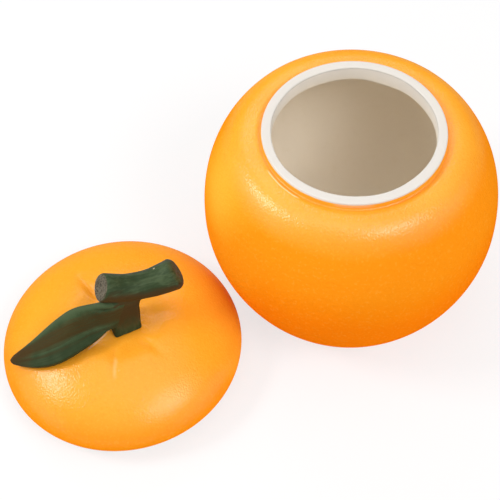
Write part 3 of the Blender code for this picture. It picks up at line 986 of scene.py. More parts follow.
    def material(self) -> bpy.types.Material:
        """Makes the glaze.

        Returns:
            The material: orange outside, white on the rim, cream inside, bare on the foot.
        """
        finish = OrangeGlaze(
            "jar_orange_glaze",
            (*self.axis, 0.0),
            0.0,
            self.rim_height,
            self.shades,
            dry=(0.855, 0.965),
            gloss=0.72,
            # Painted light: the jar's far left is painted paler, to lift its shade.
            painted_light_turn=192.0,
            painted_light_shift=0.24,
            painted_light_reach=(0.039, 0.055),
            pebble_depth=0.00019,
            roughness=0.26,
        )
        sheet = Sheet(finish.name)
        place = sheet.place(finish.centre)
        _, _, up = sheet.axes(place)
        ragged = finish.frayed(sheet)
        lined = sheet.attribute("lined")
        line = self.rim_height - 0.0008
        white = (up + ragged * 0.0005).step(line - 0.00012, line + 0.00012)
        neck = (up + ragged * 0.0008).step(self.ledge_height - 0.0068, self.rim_height - 0.0010)
        foot = (up + ragged * 0.0006).step(0.0012, 0.0007)
        under = up.step(0.0034, 0.0030) * sheet.radius(place).step(0.0312, 0.0308)
        bare = foot + under - foot * under
        dust = finish.dusted(sheet)
        clay = sheet.mix(dust.step(0.50, 0.80) * 0.35, finish.clay, finish.clay_dust)
        porcelain = finish.porcelain(sheet, dust)
        cream = sheet.mix(dust.step(0.50, 0.80) * 0.20, finish.cream, finish.cream_dust)
        inner = sheet.mix(neck * 0.8, cream, self.neck_white)
        inner = sheet.mix(white, inner, porcelain)
        colour = sheet.mix(bare, self.marked(sheet, finish), clay)
        colour = sheet.mix(white, colour, porcelain)
        colour = sheet.mix(lined, colour, inner)
        plain = lined + white + bare - lined * white
        return finish.fired(sheet, colour, plain)

    def build(self) -> bpy.types.Object:
        """Models and dresses the jar.

        Returns:
            The jar.
        """
        made = turned("jar_shell", self.section(), self.axis)
        keep_numbers(made, "lined", [self.lined(vertex.co) for vertex in made.data.vertices])
        self.warp_neck(made)
        smooth(made)
        dress(made, self.material(), Body.JAR, "jar_body")
        return made


# Lid


@dataclass(frozen=True)
class Crease:
    """A soft dent that runs out from the navel."""

    turn: float
    length: float
    depth: float
    width: float


@dataclass
class Lid:
    """The domed lid: navel with creases, rounded-under edge, and a plug with a groove underneath."""

    axis: Point = field(default_factory=lambda: middle_of("lid_shell"))
    radius: float = 0.0453
    widest: float = 0.0100
    rise: float = 0.0185
    power: float = 1.93
    wall: float = 0.0043
    edge_inner: float = 0.0344
    edge_outer: float = 0.0400
    edge_turn: float = 0.0020
    edge_height: float = 0.0040
    navel_radius: float = 0.01017
    navel_depth: float = 0.0026
    navel_slope: float = 0.0105
    plug_radius: float = 0.0263
    plug_wall: float = 0.0043
    groove_radius: float = 0.0245
    groove_low: float = 0.0016
    groove_high: float = 0.0046
    creases: Tuple[Crease, ...] = (
        Crease(-92.0, 0.0195, 0.0008, 0.0036),
        Crease(-43.0, 0.0160, 0.0007, 0.0036),
        Crease(9.0, 0.0150, 0.0005, 0.0050),
        Crease(62.0, 0.0170, 0.0008, 0.0040),
        Crease(126.0, 0.0210, 0.0015, 0.0040),
        Crease(172.0, 0.0150, 0.0006, 0.0040),
        Crease(-140.0, 0.0160, 0.0008, 0.0042),
    )
    glue_place: Tuple[float, float, float] = (-0.05577, -0.03017, 0.0)
    glue_turn: float = math.radians(-133.5)
    # Colours of the painted highlights along the glue bead and along the front crease.
    painted_glue_highlight: Colour = (1.0, 0.66, 0.42)
    painted_crease_highlight: Colour = (1.0, 0.62, 0.22)
    shades: Shades = (
        (0.00, (0.950, 0.240, 0.003)),
        (0.43, (0.965, 0.285, 0.006)),
        (0.57, (0.972, 0.300, 0.008)),
        (0.67, (0.978, 0.344, 0.014)),
        (0.77, (0.984, 0.384, 0.021)),
        (1.00, (0.985, 0.405, 0.026)),
    )

    def navel(self) -> float:
        """Returns the height of the navel floor."""
        return self.widest + self.rise - self.navel_depth

    def top(self, radius: float) -> float:
        """Returns the height of the top.

        Args:
            radius: how far from the axis.

        Returns:
            The height, without the creases.
        """
        ratio = min(radius / self.radius, 1.0)
        plain = self.widest + self.rise * (1.0 - ratio**self.power) ** (1.0 / self.power)
        sunk = eased(radius, self.navel_radius, self.navel_radius + self.navel_slope)
        return self.navel() + (plain - self.navel()) * sunk

    def dent(self, place: Vector) -> float:
        """Returns how far the creases sink the top.

        Args:
            place: a place on the lid.

        Returns:
            The depth that they add up to.
        """
        local = Vector((place.x - self.axis[0], place.y - self.axis[1]))
        total = 0.0
        for crease in self.creases:
            ahead = Vector((math.cos(math.radians(crease.turn)), math.sin(math.radians(crease.turn))))
            along = local.dot(ahead) - self.navel_radius
            side = abs(local.x * ahead.y - local.y * ahead.x)
            if along <= 0.0:
                continue
            crest = 0.3 * crease.length
            reach = eased(along, 0.0, crest) * (1.0 - eased(along, crest, crease.length))
            total += crease.depth * reach * math.exp(-((side / (0.5 * crease.width)) ** 2))
        return total

    def section(self) -> List[Point]:
        """Works out the section, out over the top and in along the underside.

        Returns:
            Radius and height of its points.
        """
        top = [(0.0, self.navel()), (0.5 * self.navel_radius, self.navel())]
        steps = 56
        for step in range(steps):
            part = math.sin(0.5 * math.pi * step / steps)
            radius = self.navel_radius + (self.radius - self.navel_radius) * part
            top.append((radius, self.top(radius)))
        top.append((self.radius, self.widest))
        turn = (self.radius, self.widest - self.edge_turn)
        under = rounded((self.radius, self.widest), turn, (self.edge_outer, self.edge_height), 14)
        plug_in = self.plug_radius - self.plug_wall
        ceiling = [p for p in inset(top[2:], -self.wall) if p[1] > self.widest]
        inside = [p for p in ceiling if p[0] < plug_in - self.wall]
        outside = [p for p in ceiling if p[0] > self.plug_radius + self.wall]
        plug = softened(
            (
                (*inside[-1], 0.0),
                (plug_in, inside[-1][1], 0.0020),
                (plug_in, 0.0, 0.0008),
                (self.plug_radius, 0.0, 0.0008),
                (self.plug_radius, self.groove_low, 0.0002),
                (self.groove_radius, self.groove_low, 0.0003),
                (self.groove_radius, self.groove_high, 0.0003),
                (self.plug_radius, self.groove_high, 0.0002),
                (self.plug_radius, outside[0][1], 0.0020),
                (*outside[0], 0.0),
            )
        )
        inner = (self.radius - self.wall, self.widest)
        lean = (self.radius - self.wall, self.edge_height + 0.0020)
        skirt = rounded(inner, lean, (self.edge_inner, self.edge_height), 10)
        edge = softened(
            (
                (*skirt[-2], 0.0),
                (self.edge_inner, self.edge_height, 0.0005),
                (self.edge_outer, self.edge_height, 0.0005),
                (*under[-2], 0.0),
            )
        )
        hollow = [(0.0, inside[0][1])] + inside + plug[1:-1] + outside + skirt[:-2] + edge[:-1]
        return top + under[1:-1] + hollow[::-1]

    def crease_top(self, item: bpy.types.Object) -> None:
        """Sinks the creases into the top.

        Args:
            item: the lid.
        """
        for vertex in item.data.vertices:
            radius = math.hypot(vertex.co.x - self.axis[0], vertex.co.y - self.axis[1])
            if vertex.co.z > self.top(radius) - 0.00002:
                vertex.co.z -= self.dent(vertex.co)

    def lined(self, place: Vector) -> float:
        """Says whether a place is on the underside.

        Args:
            place: a place on the lid.

        Returns:
            1 on the underside, from the middle of the edge inwards, and 0 on the top.
        """
        radius = math.hypot(place.x - self.axis[0], place.y - self.axis[1])
        if radius > 0.5 * (self.edge_inner + self.edge_outer) and place.z < self.widest - 0.0004:
            return 1.0 if radius < self.edge_inner + 0.5 * (place.z - self.edge_height) + 0.0028 else 0.0
        return 1.0 if place.z < self.top(radius) - 0.5 * self.wall else 0.0

    def material(self) -> bpy.types.Material:
        """Makes the glaze.

        Returns:
            The material: orange on top, white on the plug and underneath, with a painted highlight along the glue
                bead and along the front crease.
        """
        finish = OrangeGlaze(
            "lid_orange_glaze",
            (*self.axis, 0.0),
            -0.004,
            self.widest + self.rise,
            self.shades,
            dry=(0.42, 0.66),
            gloss=0.40,
            # Painted light: the side of the lid that faces the jar is painted paler, to lift the jar's shadow on
            # it.
            painted_light_turn=27.0,
            painted_light_shift=0.55,
            painted_light_reach=(0.020, 0.042),
        )
        sheet = Sheet(finish.name)
        _, _, up = sheet.axes(sheet.place(finish.centre))
        lined = sheet.attribute("lined")
        ragged = finish.frayed(sheet)
        edge = (up + ragged * 0.0006).step(0.0050, 0.0045)
        bare = lined + edge - lined * edge
        porcelain = finish.porcelain(sheet, finish.dusted(sheet))
        colour = sheet.mix(bare, finish.orange(sheet), porcelain)
        # Painted highlight along the glue bead beside the leaf's near edge.
        run, off, _ = sheet.axes(sheet.place(self.glue_place, self.glue_turn))
        line = abs(run).step(0.0052, 0.0040) * abs(off + ragged * 0.0004).step(0.00050, 0.00015)
        colour = sheet.mix(line * 0.55, colour, self.painted_glue_highlight)
        # Painted highlight along the front crease, where a lamp would catch its flank.
        run, off, _ = sheet.axes(sheet.place(finish.centre, math.radians(self.creases[0].turn)))
        painted_glint = run.step(0.0150, 0.0175) * run.step(0.0255, 0.0215) * abs(off + ragged * 0.0012).step(0.0011, 0.0)
        colour = sheet.mix(painted_glint * 0.45, colour, self.painted_crease_highlight)
        return finish.fired(sheet, colour, bare)

    def build(self) -> bpy.types.Object:
        """Models and dresses the lid.

        Returns:
            The lid.
        """
        made = turned("lid_dome", self.section(), self.axis)
        keep_numbers(made, "lined", [self.lined(vertex.co) for vertex in made.data.vertices])
        self.crease_top(made)
        smooth(made)
        dress(made, self.material(), Body.LID, "lid_shell")
        return made


@dataclass
class Seal:
    """The soft ring in the groove of the plug, with two lips that grip the neck."""

    axis: Point = field(default_factory=lambda: middle_of("seal_ring"))
    inner: float = 0.0248
    outer: float = 0.0285
    waist: float = 0.0272
    low: float = 0.0019
    high: float = 0.0043
    lip: float = 0.0005

    def build(self) -> bpy.types.Object:
        """Models and dresses the ring.

        Returns:
            The ring.
        """
        middle = 0.5 * (self.low + self.high)
        corners = (
            (self.inner, middle, 0.0),
            (self.inner, self.high, 0.0003),
            (self.outer, self.high, 0.0004),
            (self.outer, middle + self.lip, 0.0003),
            (self.waist, middle, 0.0004),
            (self.outer, middle - self.lip, 0.0003),
            (self.outer, self.low, 0.0004),
            (self.inner, self.low, 0.0003),
            (self.inner, middle, 0.0),
        )
        made = turned("seal_gasket", softened(corners, 4), self.axis, 160)
        smooth(made)
        dress(made, SiliconeRubber().material(), Body.SEAL, "seal_ring")
        return made


# Twig and leaf


@dataclass
class Twig:
    """The cut twig and the post that it stands on, pressed from one lump of clay."""

    lid: Lid
    post_width: float = 0.0106
    post_depth: float = 0.0094
    post_turn: float = math.radians(22.8)
    post_place: Point = (0.0024, -0.0016)
    post_lean: float = 0.09
    post_lean_back: float = 0.13
    radius: float = 0.0053
    length: float = 0.0284
    turn: float = math.radians(14.9)
    height: float = 0.0184
    rise_near: float = 0.0054
    rise_far: float = 0.0021
    ahead: float = 0.0086
    back: float = 0.0024
    rod_sides: int = 64
    rod_cuts: int = 18
    near_round: float = 0.0013
    far_round: float = 0.0026
    post_cuts: int = 14
    post_round: float = 0.0012
    post_foot: float = 0.06
    flare: float = 0.0046
    flare_start: float = 0.58
    flare_run: float = 0.42
    ridge_depth: float = 0.00012
    ridge_long: float = 60.0
    ridge_fine: float = 620.0
    lump_depth: float = 0.00018
    lump_scale: float = 170.0
    clay_grain: float = 0.00028
    chips: Tuple[Tuple[float, float, float, float], ...] = (
        (-0.03294, -0.01497, 0.04923, 0.00042),
        (-0.05030, -0.02650, 0.02640, 0.00060),
        (-0.04960, -0.02780, 0.02640, 0.00045),
        (-0.05080, -0.02520, 0.02650, 0.00050),
    )

    def foot(self) -> Point:
        """Returns where the post stands, seen from above."""
        return (self.lid.axis[0] + self.post_place[0], self.lid.axis[1] + self.post_place[1])

    def ways(self) -> Tuple[Vector, Vector]:
        """Returns the level directions along the twig and across it."""
        along = Vector((math.cos(self.turn), math.sin(self.turn), 0.0))
        return along, Vector((-along.y, along.x, 0.0))

    def ends(self) -> Tuple[Vector, Vector, Vector]:
        """Works out the axis.

        Returns:
            Its end over the leaf, the point that it leans on and its far end.
        """
        along, behind = self.ways()
        middle = Vector((*self.foot(), 0.0)) + along * self.ahead + behind * self.back
        middle.z = self.lid.navel() + self.height
        near = middle - along * 0.5 * self.length + Vector((0.0, 0.0, self.rise_near))
        far = middle + along * 0.5 * self.length + Vector((0.0, 0.0, self.rise_far))
        return near, 2.0 * middle - 0.5 * (near + far), far

    def thickness(self, part: float) -> float:
        """Returns the radius at a place along the twig, over the full radius."""
        waist = 1.0 - 0.075 * math.sin(math.pi * part) ** 1.5
        return waist * (1.0 + 0.04 * part + 0.09 * eased(part, 0.45, 1.0))

    def rod(self) -> bpy.types.Object:
        """Models the twig straight along X, then bends it along its axis.

        Returns:
            The twig.
        """
        near, lean, far = self.ends()
        pick_nothing()
        bpy.ops.curve.primitive_bezier_curve_add(location=(0.0, 0.0, 0.0))
        path = bpy.context.object
        knots = path.data.splines[0].bezier_points
        for knot, place in zip(knots, (near, far)):
            knot.handle_left_type = knot.handle_right_type = "FREE"
            knot.co = place
        pull, push = 2.0 / 3.0, 0.3
        knots[0].handle_right = near + (lean - near) * pull
        knots[0].handle_left = near - (lean - near) * push
        knots[1].handle_left = far + (lean - far) * pull
        knots[1].handle_right = far - (lean - far) * push
        path.data.resolution_u = 64
        long = path.data.splines[0].calc_length()
        pick_nothing()
        bpy.ops.mesh.primitive_cylinder_add(
            vertices=self.rod_sides,
            radius=self.radius,
            depth=long,
            location=(0.5 * long, 0.0, 0.0),
            rotation=(0.0, 0.5 * math.pi, 0.0),
        )
        made = started("twig_rod")
        settle(made)
        bpy.ops.object.mode_set(mode="EDIT")
        slice_up(Vector((1.0, 0.0, 0.0)), long, self.rod_cuts)
        for step in range(self.rod_cuts + 1):
            part = step / self.rod_cuts
            select_where(made, "VERT", lambda v: abs(v.co.x - part * long) < RING_REACH)
            scale = self.thickness(part)
            bpy.ops.transform.resize(value=(1.0, scale, scale), center_override=(part * long, 0.0, 0.0))
        for cap in Cap:
            self.cut_end(made, cap)
        bpy.ops.object.mode_set(mode="OBJECT")
        apply_modifier(made, "CURVE", object=path, deform_axis="POS_X")
        bpy.data.objects.remove(path, do_unlink=True)
        return made

    def cut_end(self, item: bpy.types.Object, cap: Cap) -> None:
        """Rounds the rim of one end, and dishes the cut face over the leaf.

        Args:
            item: the straight twig, in edit mode.
            cap: which end.
        """
        rim = self.near_round if cap is Cap.OVER_LEAF else self.far_round
        select_where(item, "FACE", lambda f: f.normal.x * cap.value > 0.9)
        bpy.ops.mesh.bevel(offset=rim, segments=6, affect="EDGES")
        if cap is Cap.FAR:
            return
        select_where(item, "FACE", lambda f: f.normal.x * cap.value > 0.98 and len(f.vertices) > 8)
        bpy.ops.mesh.inset(thickness=0.0008, depth=-0.0002)
        bpy.ops.mesh.inset(thickness=0.0012, depth=-0.0003)

    def post(self) -> bpy.types.Object:
        """Models the post as a block with soft corners that leans and flares into the twig.

        Returns:
            The post.
        """
        tall = self.height - 0.0003
        pick_nothing()
        bpy.ops.mesh.primitive_cube_add(size=1.0, location=(0.0, 0.0, 0.5 * tall))
        made = started("twig_post")
        made.scale = (self.post_width, self.post_depth, tall)
        settle(made)
        bpy.ops.object.mode_set(mode="EDIT")
        select_where(made, "EDGE", lambda e: self.upright(made, e))
        bpy.ops.mesh.bevel(offset=self.post_round, segments=4, affect="EDGES")
        slice_up(Vector((0.0, 0.0, 1.0)), tall, self.post_cuts)
        for step in range(self.post_cuts + 1):
            part = step / self.post_cuts
            rise = part * tall
            lean = self.post_lean * rise
            select_where(made, "VERT", lambda v: abs(v.co.z - rise) < RING_REACH)
            foot = 1.0 + self.post_foot * (1.0 - eased(part, 0.0, 0.12))
            bpy.ops.transform.resize(value=(foot, foot, 1.0), center_override=(0.0, 0.0, rise))
            bpy.ops.transform.translate(value=(lean, self.post_lean_back * rise, 0.0))
            flare = self.flare * max((part - self.flare_start) / self.flare_run, 0.0) ** 2.5
            if flare > 0.0:
                select_where(made, "VERT", lambda v: abs(v.co.z - rise) < RING_REACH and v.co.x > lean)
                bpy.ops.transform.translate(value=(flare, 0.0, 0.0))
        bpy.ops.object.mode_set(mode="OBJECT")
        made.rotation_euler = (0.0, 0.0, self.post_turn)
        made.location = (*self.foot(), self.lid.navel() + 0.0002)
        settle(made)
        return made

    def on_post(self, x: float, y: float, height: float) -> Vector:
        """Returns a place of the part from a place on the post.

        Args:
            x: across the front of the post.
            y: from front to back.
            height: above the navel floor.

        Returns:
            The place, in the frame of the part.
        """
        x, y = x + self.post_lean * height, y + self.post_lean_back * height
        turned_x = x * math.cos(self.post_turn) - y * math.sin(self.post_turn)
        turned_y = x * math.sin(self.post_turn) + y * math.cos(self.post_turn)
        foot = self.foot()
        return Vector((foot[0] + turned_x, foot[1] + turned_y, self.lid.navel() + height))

    @staticmethod
    def upright(item: bpy.types.Object, edge: bpy.types.MeshEdge) -> bool:
        """Says whether an edge of a block stands upright."""
        first, second = (item.data.vertices[place].co for place in edge.vertices)
        return abs(first.z - second.z) > 0.001

    def bark(self, item: bpy.types.Object) -> None:
        """Presses long shallow ridges into the clay, along the twig and up the post.

        Args:
            item: the twig on its post.
        """
        along, across = self.ways()
        turn_height = self.lid.navel() + self.height - self.radius
        moved = []
        for vertex in item.data.vertices:
            place = vertex.co
            on_twig = eased(place.z, turn_height - 0.002, turn_height + 0.002)
            ahead, aside, fine = place.dot(along), place.dot(across) * self.ridge_fine, self.ridge_fine
            run = Vector((ahead * self.ridge_long, aside, place.z * fine))
            stand = Vector((ahead * fine, aside, place.z * self.ridge_long))
            ridge = noise.noise(run) * on_twig + noise.noise(stand) * (1.0 - on_twig)
            lump = noise.noise(place * self.lump_scale)
            moved.append(place + vertex.normal * (self.ridge_depth * ridge + self.lump_depth * lump))
        for vertex, place in zip(item.data.vertices, moved):
            vertex.co = place

    def paint_map(self, item: bpy.types.Object) -> None:
        """Keeps on the mesh how far each place looks up, and where the cut end and the chips are.

        Args:
            item: the twig on its post.
        """
        near, lean, _ = self.ends()
        outward = (near - lean).normalized()
        layers = {"above": [], "cut": [], "chip": []}
        for vertex in item.data.vertices:
            place, normal = vertex.co, vertex.normal
            facing = eased(normal.dot(outward), 0.70, 0.90)
            layers["above"].append(normal.z)
            layers["cut"].append(facing * eased((place - near).dot(outward), -0.0022, -0.0012))
            chipped = 0.0
            for x, y, z, size in self.chips:
                wander = 0.35 * size * noise.noise(place * 2400.0)
                distance = (place - Vector((x, y, z))).length + wander
                chipped = max(chipped, 1.0 - eased(distance, 0.6 * size, size))
            layers["chip"].append(chipped)
        for name, numbers in layers.items():
            keep_numbers(item, name, numbers)

    def material(self) -> bpy.types.Material:
        """Makes the paint.

        Returns:
            The material: green on top, brown beneath as painted shade and bounce light, bark on the cut end,
                chipped here and there.
        """
        finish = BrushedPaint("twig_green_paint")
        sheet = Sheet(finish.name)
        near, _, far = self.ends()
        place = sheet.place(0.5 * (near + far), self.turn)
        _, _, up = sheet.axes(place)
        streaks = sheet.grain(sheet.stretched(place, (70.0, 900.0, 900.0)), 1.0, 3.0, 0.6)
        strokes = sheet.grain(sheet.stretched(place, (900.0, 900.0, 110.0)), 1.0, 3.0, 0.6)
        on_twig = up.step(-0.0085, -0.0055)
        brush = streaks * on_twig + strokes * (1.0 - on_twig)
        clouds = sheet.grain(place, 190.0, 3.0)
        # Painted shade and bounce light: brown under the twig and on the post below it, green where the twig looks
        # up and at the foot of the post.
        above = (sheet.attribute("above") + (brush - 0.5) * 0.7 + (clouds - 0.5) * 0.4).step(0.06, 0.62)
        low = (up + (clouds - 0.5) * 0.010 + (brush - 0.5) * 0.006).step(-0.0125, -0.0205)
        green = sheet.mix((brush * 0.7 + clouds * 0.5).step(0.45, 0.85), finish.green, finish.pale)
        colour = sheet.mix(above * on_twig + low * (1.0 - on_twig), finish.brown, green)
        pores = sheet.grain(place, 1500.0, 2.0, 0.7)
        wood = sheet.mix(pores.step(0.42, 0.66), finish.bark, finish.pore)
        colour = sheet.mix(sheet.attribute("cut"), colour, wood)
        colour = sheet.mix(sheet.attribute("chip"), colour, finish.chip)
        return finish.dried(sheet, colour, brush)

    def build(self) -> bpy.types.Object:
        """Models and dresses the twig on its post.

        Returns:
            The twig on its post.
        """
        made = self.rod()
        post = self.post()
        apply_modifier(made, "BOOLEAN", operation="UNION", solver="EXACT", object=post)
        bpy.data.objects.remove(post, do_unlink=True)
        knead(made, self.clay_grain, 12)
        made.name = "twig_knob"
        self.bark(made)
        self.paint_map(made)
        smooth(made, 80.0)
        dress(made, self.material(), Body.LID, "branch_handle")
        return made


@dataclass
class Leaf:
    """The folded leaf that runs from the post to the edge of the lid."""

    lid: Lid
    twig: Twig
    thick: float = 0.0026
    base_shift: Point = (-0.0030, 0.0001)
    base_drop: float = 0.0105
    tip_inset: float = 0.0041
    tip_turn: float = math.radians(-162.9)
    tip_gap: float = 0.0019
    settle: float = 2.0
    bow: float = 0.0036
    near_wide: float = 0.0059
    near_fold: float = math.radians(44.0)
    near_droop: float = math.radians(21.0)
    far_wide: float = 0.0067
    far_narrows: float = 0.0011
    far_fold: float = math.radians(88.0)
    far_droop: float = math.radians(9.8)
    tip_wide: float = 0.0012
    blunt_start: float = 0.955
    blunt_run: float = 0.045
    crease: float = 0.0005
    clay_grain: float = 0.00028
    tongue: Tuple[Tuple[float, float, float, float], ...] = (
        (-0.0532, -0.0246, 0.0416, 0.0014),
        (-0.0506, -0.0253, 0.0430, 0.0015),
        (-0.0482, -0.0254, 0.0433, 0.0013),
        (-0.0455, -0.0247, 0.0426, 0.0007),
    )
    bridge_start: float = 0.30
    bridge_thick: float = 0.0024
    bridge_over: Tuple[Vector, Vector] = (Vector((-0.0085, -0.0027, 0.0168)), Vector((-0.0075, -0.0012, 0.0060)))
    bridge_end: Tuple[Vector, Vector] = (Vector((0.0012, 0.0003, 0.0168)), Vector((-0.0028, 0.0004, 0.0060)))

    def plan(self, part: float) -> Vector:
        """Returns a place on the midrib, seen from above.

        Args:
            part: from 0 in the post to 1 at the tip.

        Returns:
            The place, measured from the lid's axis.
        """
        post, shift = self.twig.post_place, self.base_shift
        base = Vector((post[0] + shift[0], post[1] + shift[1], 0.0))
        tip = Vector((math.cos(self.tip_turn), math.sin(self.tip_turn), 0.0)) * (self.lid.radius - self.tip_inset)
        run = tip - base
        side = Vector((-run.y, run.x, 0.0)).normalized()
        return base + run * part + side * self.bow * 4.0 * part * (1.0 - part)

    def midrib(self, part: float) -> Vector:
        """Returns a place on the midrib.

        Args:
            part: from 0 in the post to 1 at the tip.

        Returns:
            The place, measured from the lid's axis.
        """
        found = self.plan(part)
        start = self.lid.navel() + self.twig.height - self.base_drop - self.lid.top(self.plan(0.0).length)
        end = 0.5 * self.thick + self.tip_gap
        found.z = self.lid.top(found.length) + end + (start - end) * (1.0 - part) ** self.settle
        return found

    def half(self, part: float, near: bool) -> Tuple[float, float]:
        """Works out one half of the leaf.

        Args:
            part: from 0 in the post to 1 at the tip.
            near: the half at the near edge, or the other.

        Returns:
            The width and the lift at that part.
        """
        left = 1.0 - part
        blunt = math.sqrt(max(1.0 - max((part - self.blunt_start) / self.blunt_run, 0.0) ** 2, 0.0))
        if near:
            shape = 0.60 * left**2 + math.sin(math.pi * part**1.31)
            lift = -self.near_fold * left**4.4 - self.near_droop * part
            return (self.tip_wide * part + self.near_wide * shape) * blunt, lift
        shape = 0.93 * left**2 + math.sin(math.pi * part**0.94)
        lift = self.far_fold * left**1.38 - self.far_droop * part
        wide = self.far_wide - self.far_narrows * eased(part, 0.20, 0.50)
        return (self.tip_wide * part + wide * shape) * blunt, lift

    def place(self, part: float, across: float) -> Vector:
        """Returns a place on the leaf.

        Args:
            part: from 0 in the post to 1 at the tip.
            across: from -1 at the far edge to 1 at the near edge.

        Returns:
            The place, in the frame of the part.
        """
        ahead = self.midrib(min(part + 0.02, 1.0)) - self.midrib(max(part - 0.02, 0.0))
        level = Vector((-ahead.y, ahead.x, 0.0)).normalized()
        wide, lift = self.half(part, across > 0.0)
        out = abs(across) * wide
        found = self.midrib(part) + level * math.copysign(out * math.cos(lift), across)
        found.z += out * math.sin(lift)
        middle = math.exp(-((across / 0.10) ** 2))
        found.z -= self.crease * middle * eased(part, 0.0, 0.2) * (1.0 - eased(part, 0.8, 1.0))
        return found + Vector((*self.lid.axis, 0.0))

    def rim(self) -> List[Tuple[Vector, float]]:
        """Works out the rolled far rim.

        Returns:
            Places from the tip to where it dies out on the post, each with the rim's radius.
        """
        found = []
        steps = 18
        for step in range(steps + 1):
            part = 1.0 - 0.86 * step / steps
            found.append((self.place(part, -0.97), 0.0010 + 0.0003 * (1.0 - part)))
        return found + [(Vector(knot[:3]), knot[3]) for knot in self.tongue]

    def bridge_place(self, run: float, drop: float) -> Vector:
        """Returns a place on the clay that is smoothed from the fold of the leaf to the front of the post.

        Args:
            run: from 0 on the leaf to 1 on the post.
            drop: from 0 under the rim to 1 at the foot of the fold.

        Returns:
            The place, in the frame of the part.
        """
        across = -0.85 + 1.45 * drop
        start = self.place(self.bridge_start, across)
        ahead = self.place(self.bridge_start - 0.12, across)
        front = Vector((0.0, -0.5 * self.twig.post_depth, 0.0))
        back = self.twig.on_post(*(front + self.bridge_over[0].lerp(self.bridge_over[1], drop)))
        end = self.twig.on_post(*(front + self.bridge_end[0].lerp(self.bridge_end[1], drop)))
        weights = ((1.0 - run) ** 3, 3.0 * run * (1.0 - run) ** 2, 3.0 * run**2 * (1.0 - run), run**3)
        found = Vector((0.0, 0.0, 0.0))
        for weight, knot in zip(weights, (start, ahead, back, end)):
            found += weight * knot
        return found

    def bridge(self) -> bpy.types.Object:
        """Models the clay that is smoothed from the leaf to the post.

        Returns:
            The clay.
        """
        pick_nothing()
        bpy.ops.mesh.primitive_grid_add(x_subdivisions=14, y_subdivisions=12, size=2.0)
        made = started("leaf_bridge")
        for vertex in made.data.vertices:
            vertex.co = self.bridge_place(0.5 * (vertex.co.x + 1.0), 0.5 * (1.0 - vertex.co.y))
        apply_modifier(made, "SOLIDIFY", thickness=self.bridge_thick, offset=-1.0)
        return made

    @staticmethod
    def roll(name: str, knots: Sequence[Tuple[Vector, float]]) -> bpy.types.Object:
        """Models a tapering roll of clay.

        Args:
            name: the roll's name.
            knots: places along the roll, each with its radius.

        Returns:
            The roll.
        """
        pick_nothing()
        bpy.ops.curve.primitive_nurbs_path_add(location=(0.0, 0.0, 0.0))
        made = bpy.context.object
        spline = made.data.splines[0]
        spline.points.add(max(len(knots) - len(spline.points), 0))
        for number, point in enumerate(spline.points):
            place, radius = knots[min(number, len(knots) - 1)]
            point.co = (*place, 1.0)
            point.radius = radius
        spline.use_endpoint_u = True
        spline.order_u = 3
        made.data.bevel_depth = 1.0
        made.data.bevel_resolution = 4
        made.data.use_fill_caps = True
        bpy.ops.object.convert(target="MESH")
        return started(name)

    def paint_map(self, item: bpy.types.Object) -> None:
        """Keeps on the mesh how far along and across the leaf each place is.

        Args:
            item: the leaf.
        """
        places = []
        rows, columns = 80, 40
        for row in range(rows + 1):
            for column in range(columns + 1):
                part, across = row / rows, 2.0 * column / columns - 1.0
                places.append((self.place(part, across), part, across))
        places += [(Vector(knot[:3]), 0.0, -0.95) for knot in self.tongue]
        rows, columns = 6, 8
        for row in range(rows + 1):
            for column in range(columns + 1):
                across = 1.35 * row / rows - 0.70
                places.append((self.bridge_place(column / columns, row / rows), 0.15, across))
        tree = KDTree(len(places))
        for number, (place, _, _) in enumerate(places):
            tree.insert(place, number)
        tree.balance()
        layers = {"along": [], "across": []}
        for vertex in item.data.vertices:
            found = tree.find_n(vertex.co, 4)
            weights = [1.0 / (distance + 0.0002) ** 2 for _, _, distance in found]
            for name, axis in (("along", 1), ("across", 2)):
                mean = sum(w * places[number][axis] for w, (_, number, _) in zip(weights, found)) / sum(weights)
                layers[name].append(mean)
        for name, numbers in layers.items():
            keep_numbers(item, name, numbers)

    def material(self) -> bpy.types.Material:
        """Makes the paint.

        Returns:
            The material: pale green painted highlight on the rim, darker painted shade on the near half, brown
                painted shade in the fold, a painted highlight along the vein, brown at the tip, streaked along the
                leaf.
        """
        finish = BrushedPaint("leaf_green_paint", brown=(0.058, 0.034, 0.009), gloss=0.06)
        sheet = Sheet(finish.name)
        along, across = sheet.attribute("along"), sheet.attribute("across")
        flat = sheet.node("ShaderNodeCombineXYZ", {}, {0: along * 4.0, 1: across * 17.0}).outputs[0]
        streaks = sheet.grain(flat, 1.0, 4.0, 0.6)
        clouds = sheet.grain(sheet.place(), 170.0, 3.0)
        wander = across + (streaks - 0.5) * 0.55
        green = sheet.mix((streaks * 0.6 + clouds * 0.6).step(0.42, 0.85), finish.green, finish.pale)
        # Painted shade: brown in the fold, and a thin brown line for the vein's shadow.
        hollow = wander.step(-0.85, -0.50) * wander.step(0.34, -0.06) * (0.60 + streaks.step(0.36, 0.56) * 0.40)
        hollow = hollow + abs(wander - 0.46).step(0.11, 0.03) * 0.7
        # Painted shade: the near half is darkened.
        near = wander.step(0.10, 0.60)
        tip = (along + (clouds - 0.5) * 0.2).step(0.74, 0.95)
        colour = sheet.mix(hollow * 0.9 + tip, green, finish.brown)
        colour = sheet.mix(near * 0.55 * (1.0 - tip * 0.7), colour, finish.shade)
        # Painted highlight along the vein.
        painted_vein_highlight = abs(wander - 0.28).step(0.10, 0.0) * along.step(0.05, 0.25) * along.step(0.85, 0.55)
        colour = sheet.mix(painted_vein_highlight * 0.3, colour, finish.pale)
        # Painted highlight: pale green along the rolled rim.
        rim = wander.step(-0.74, -0.98) * (1.0 - tip * 0.8)
        colour = sheet.mix(rim * 0.8, colour, finish.pale)
        return finish.dried(sheet, colour, streaks)

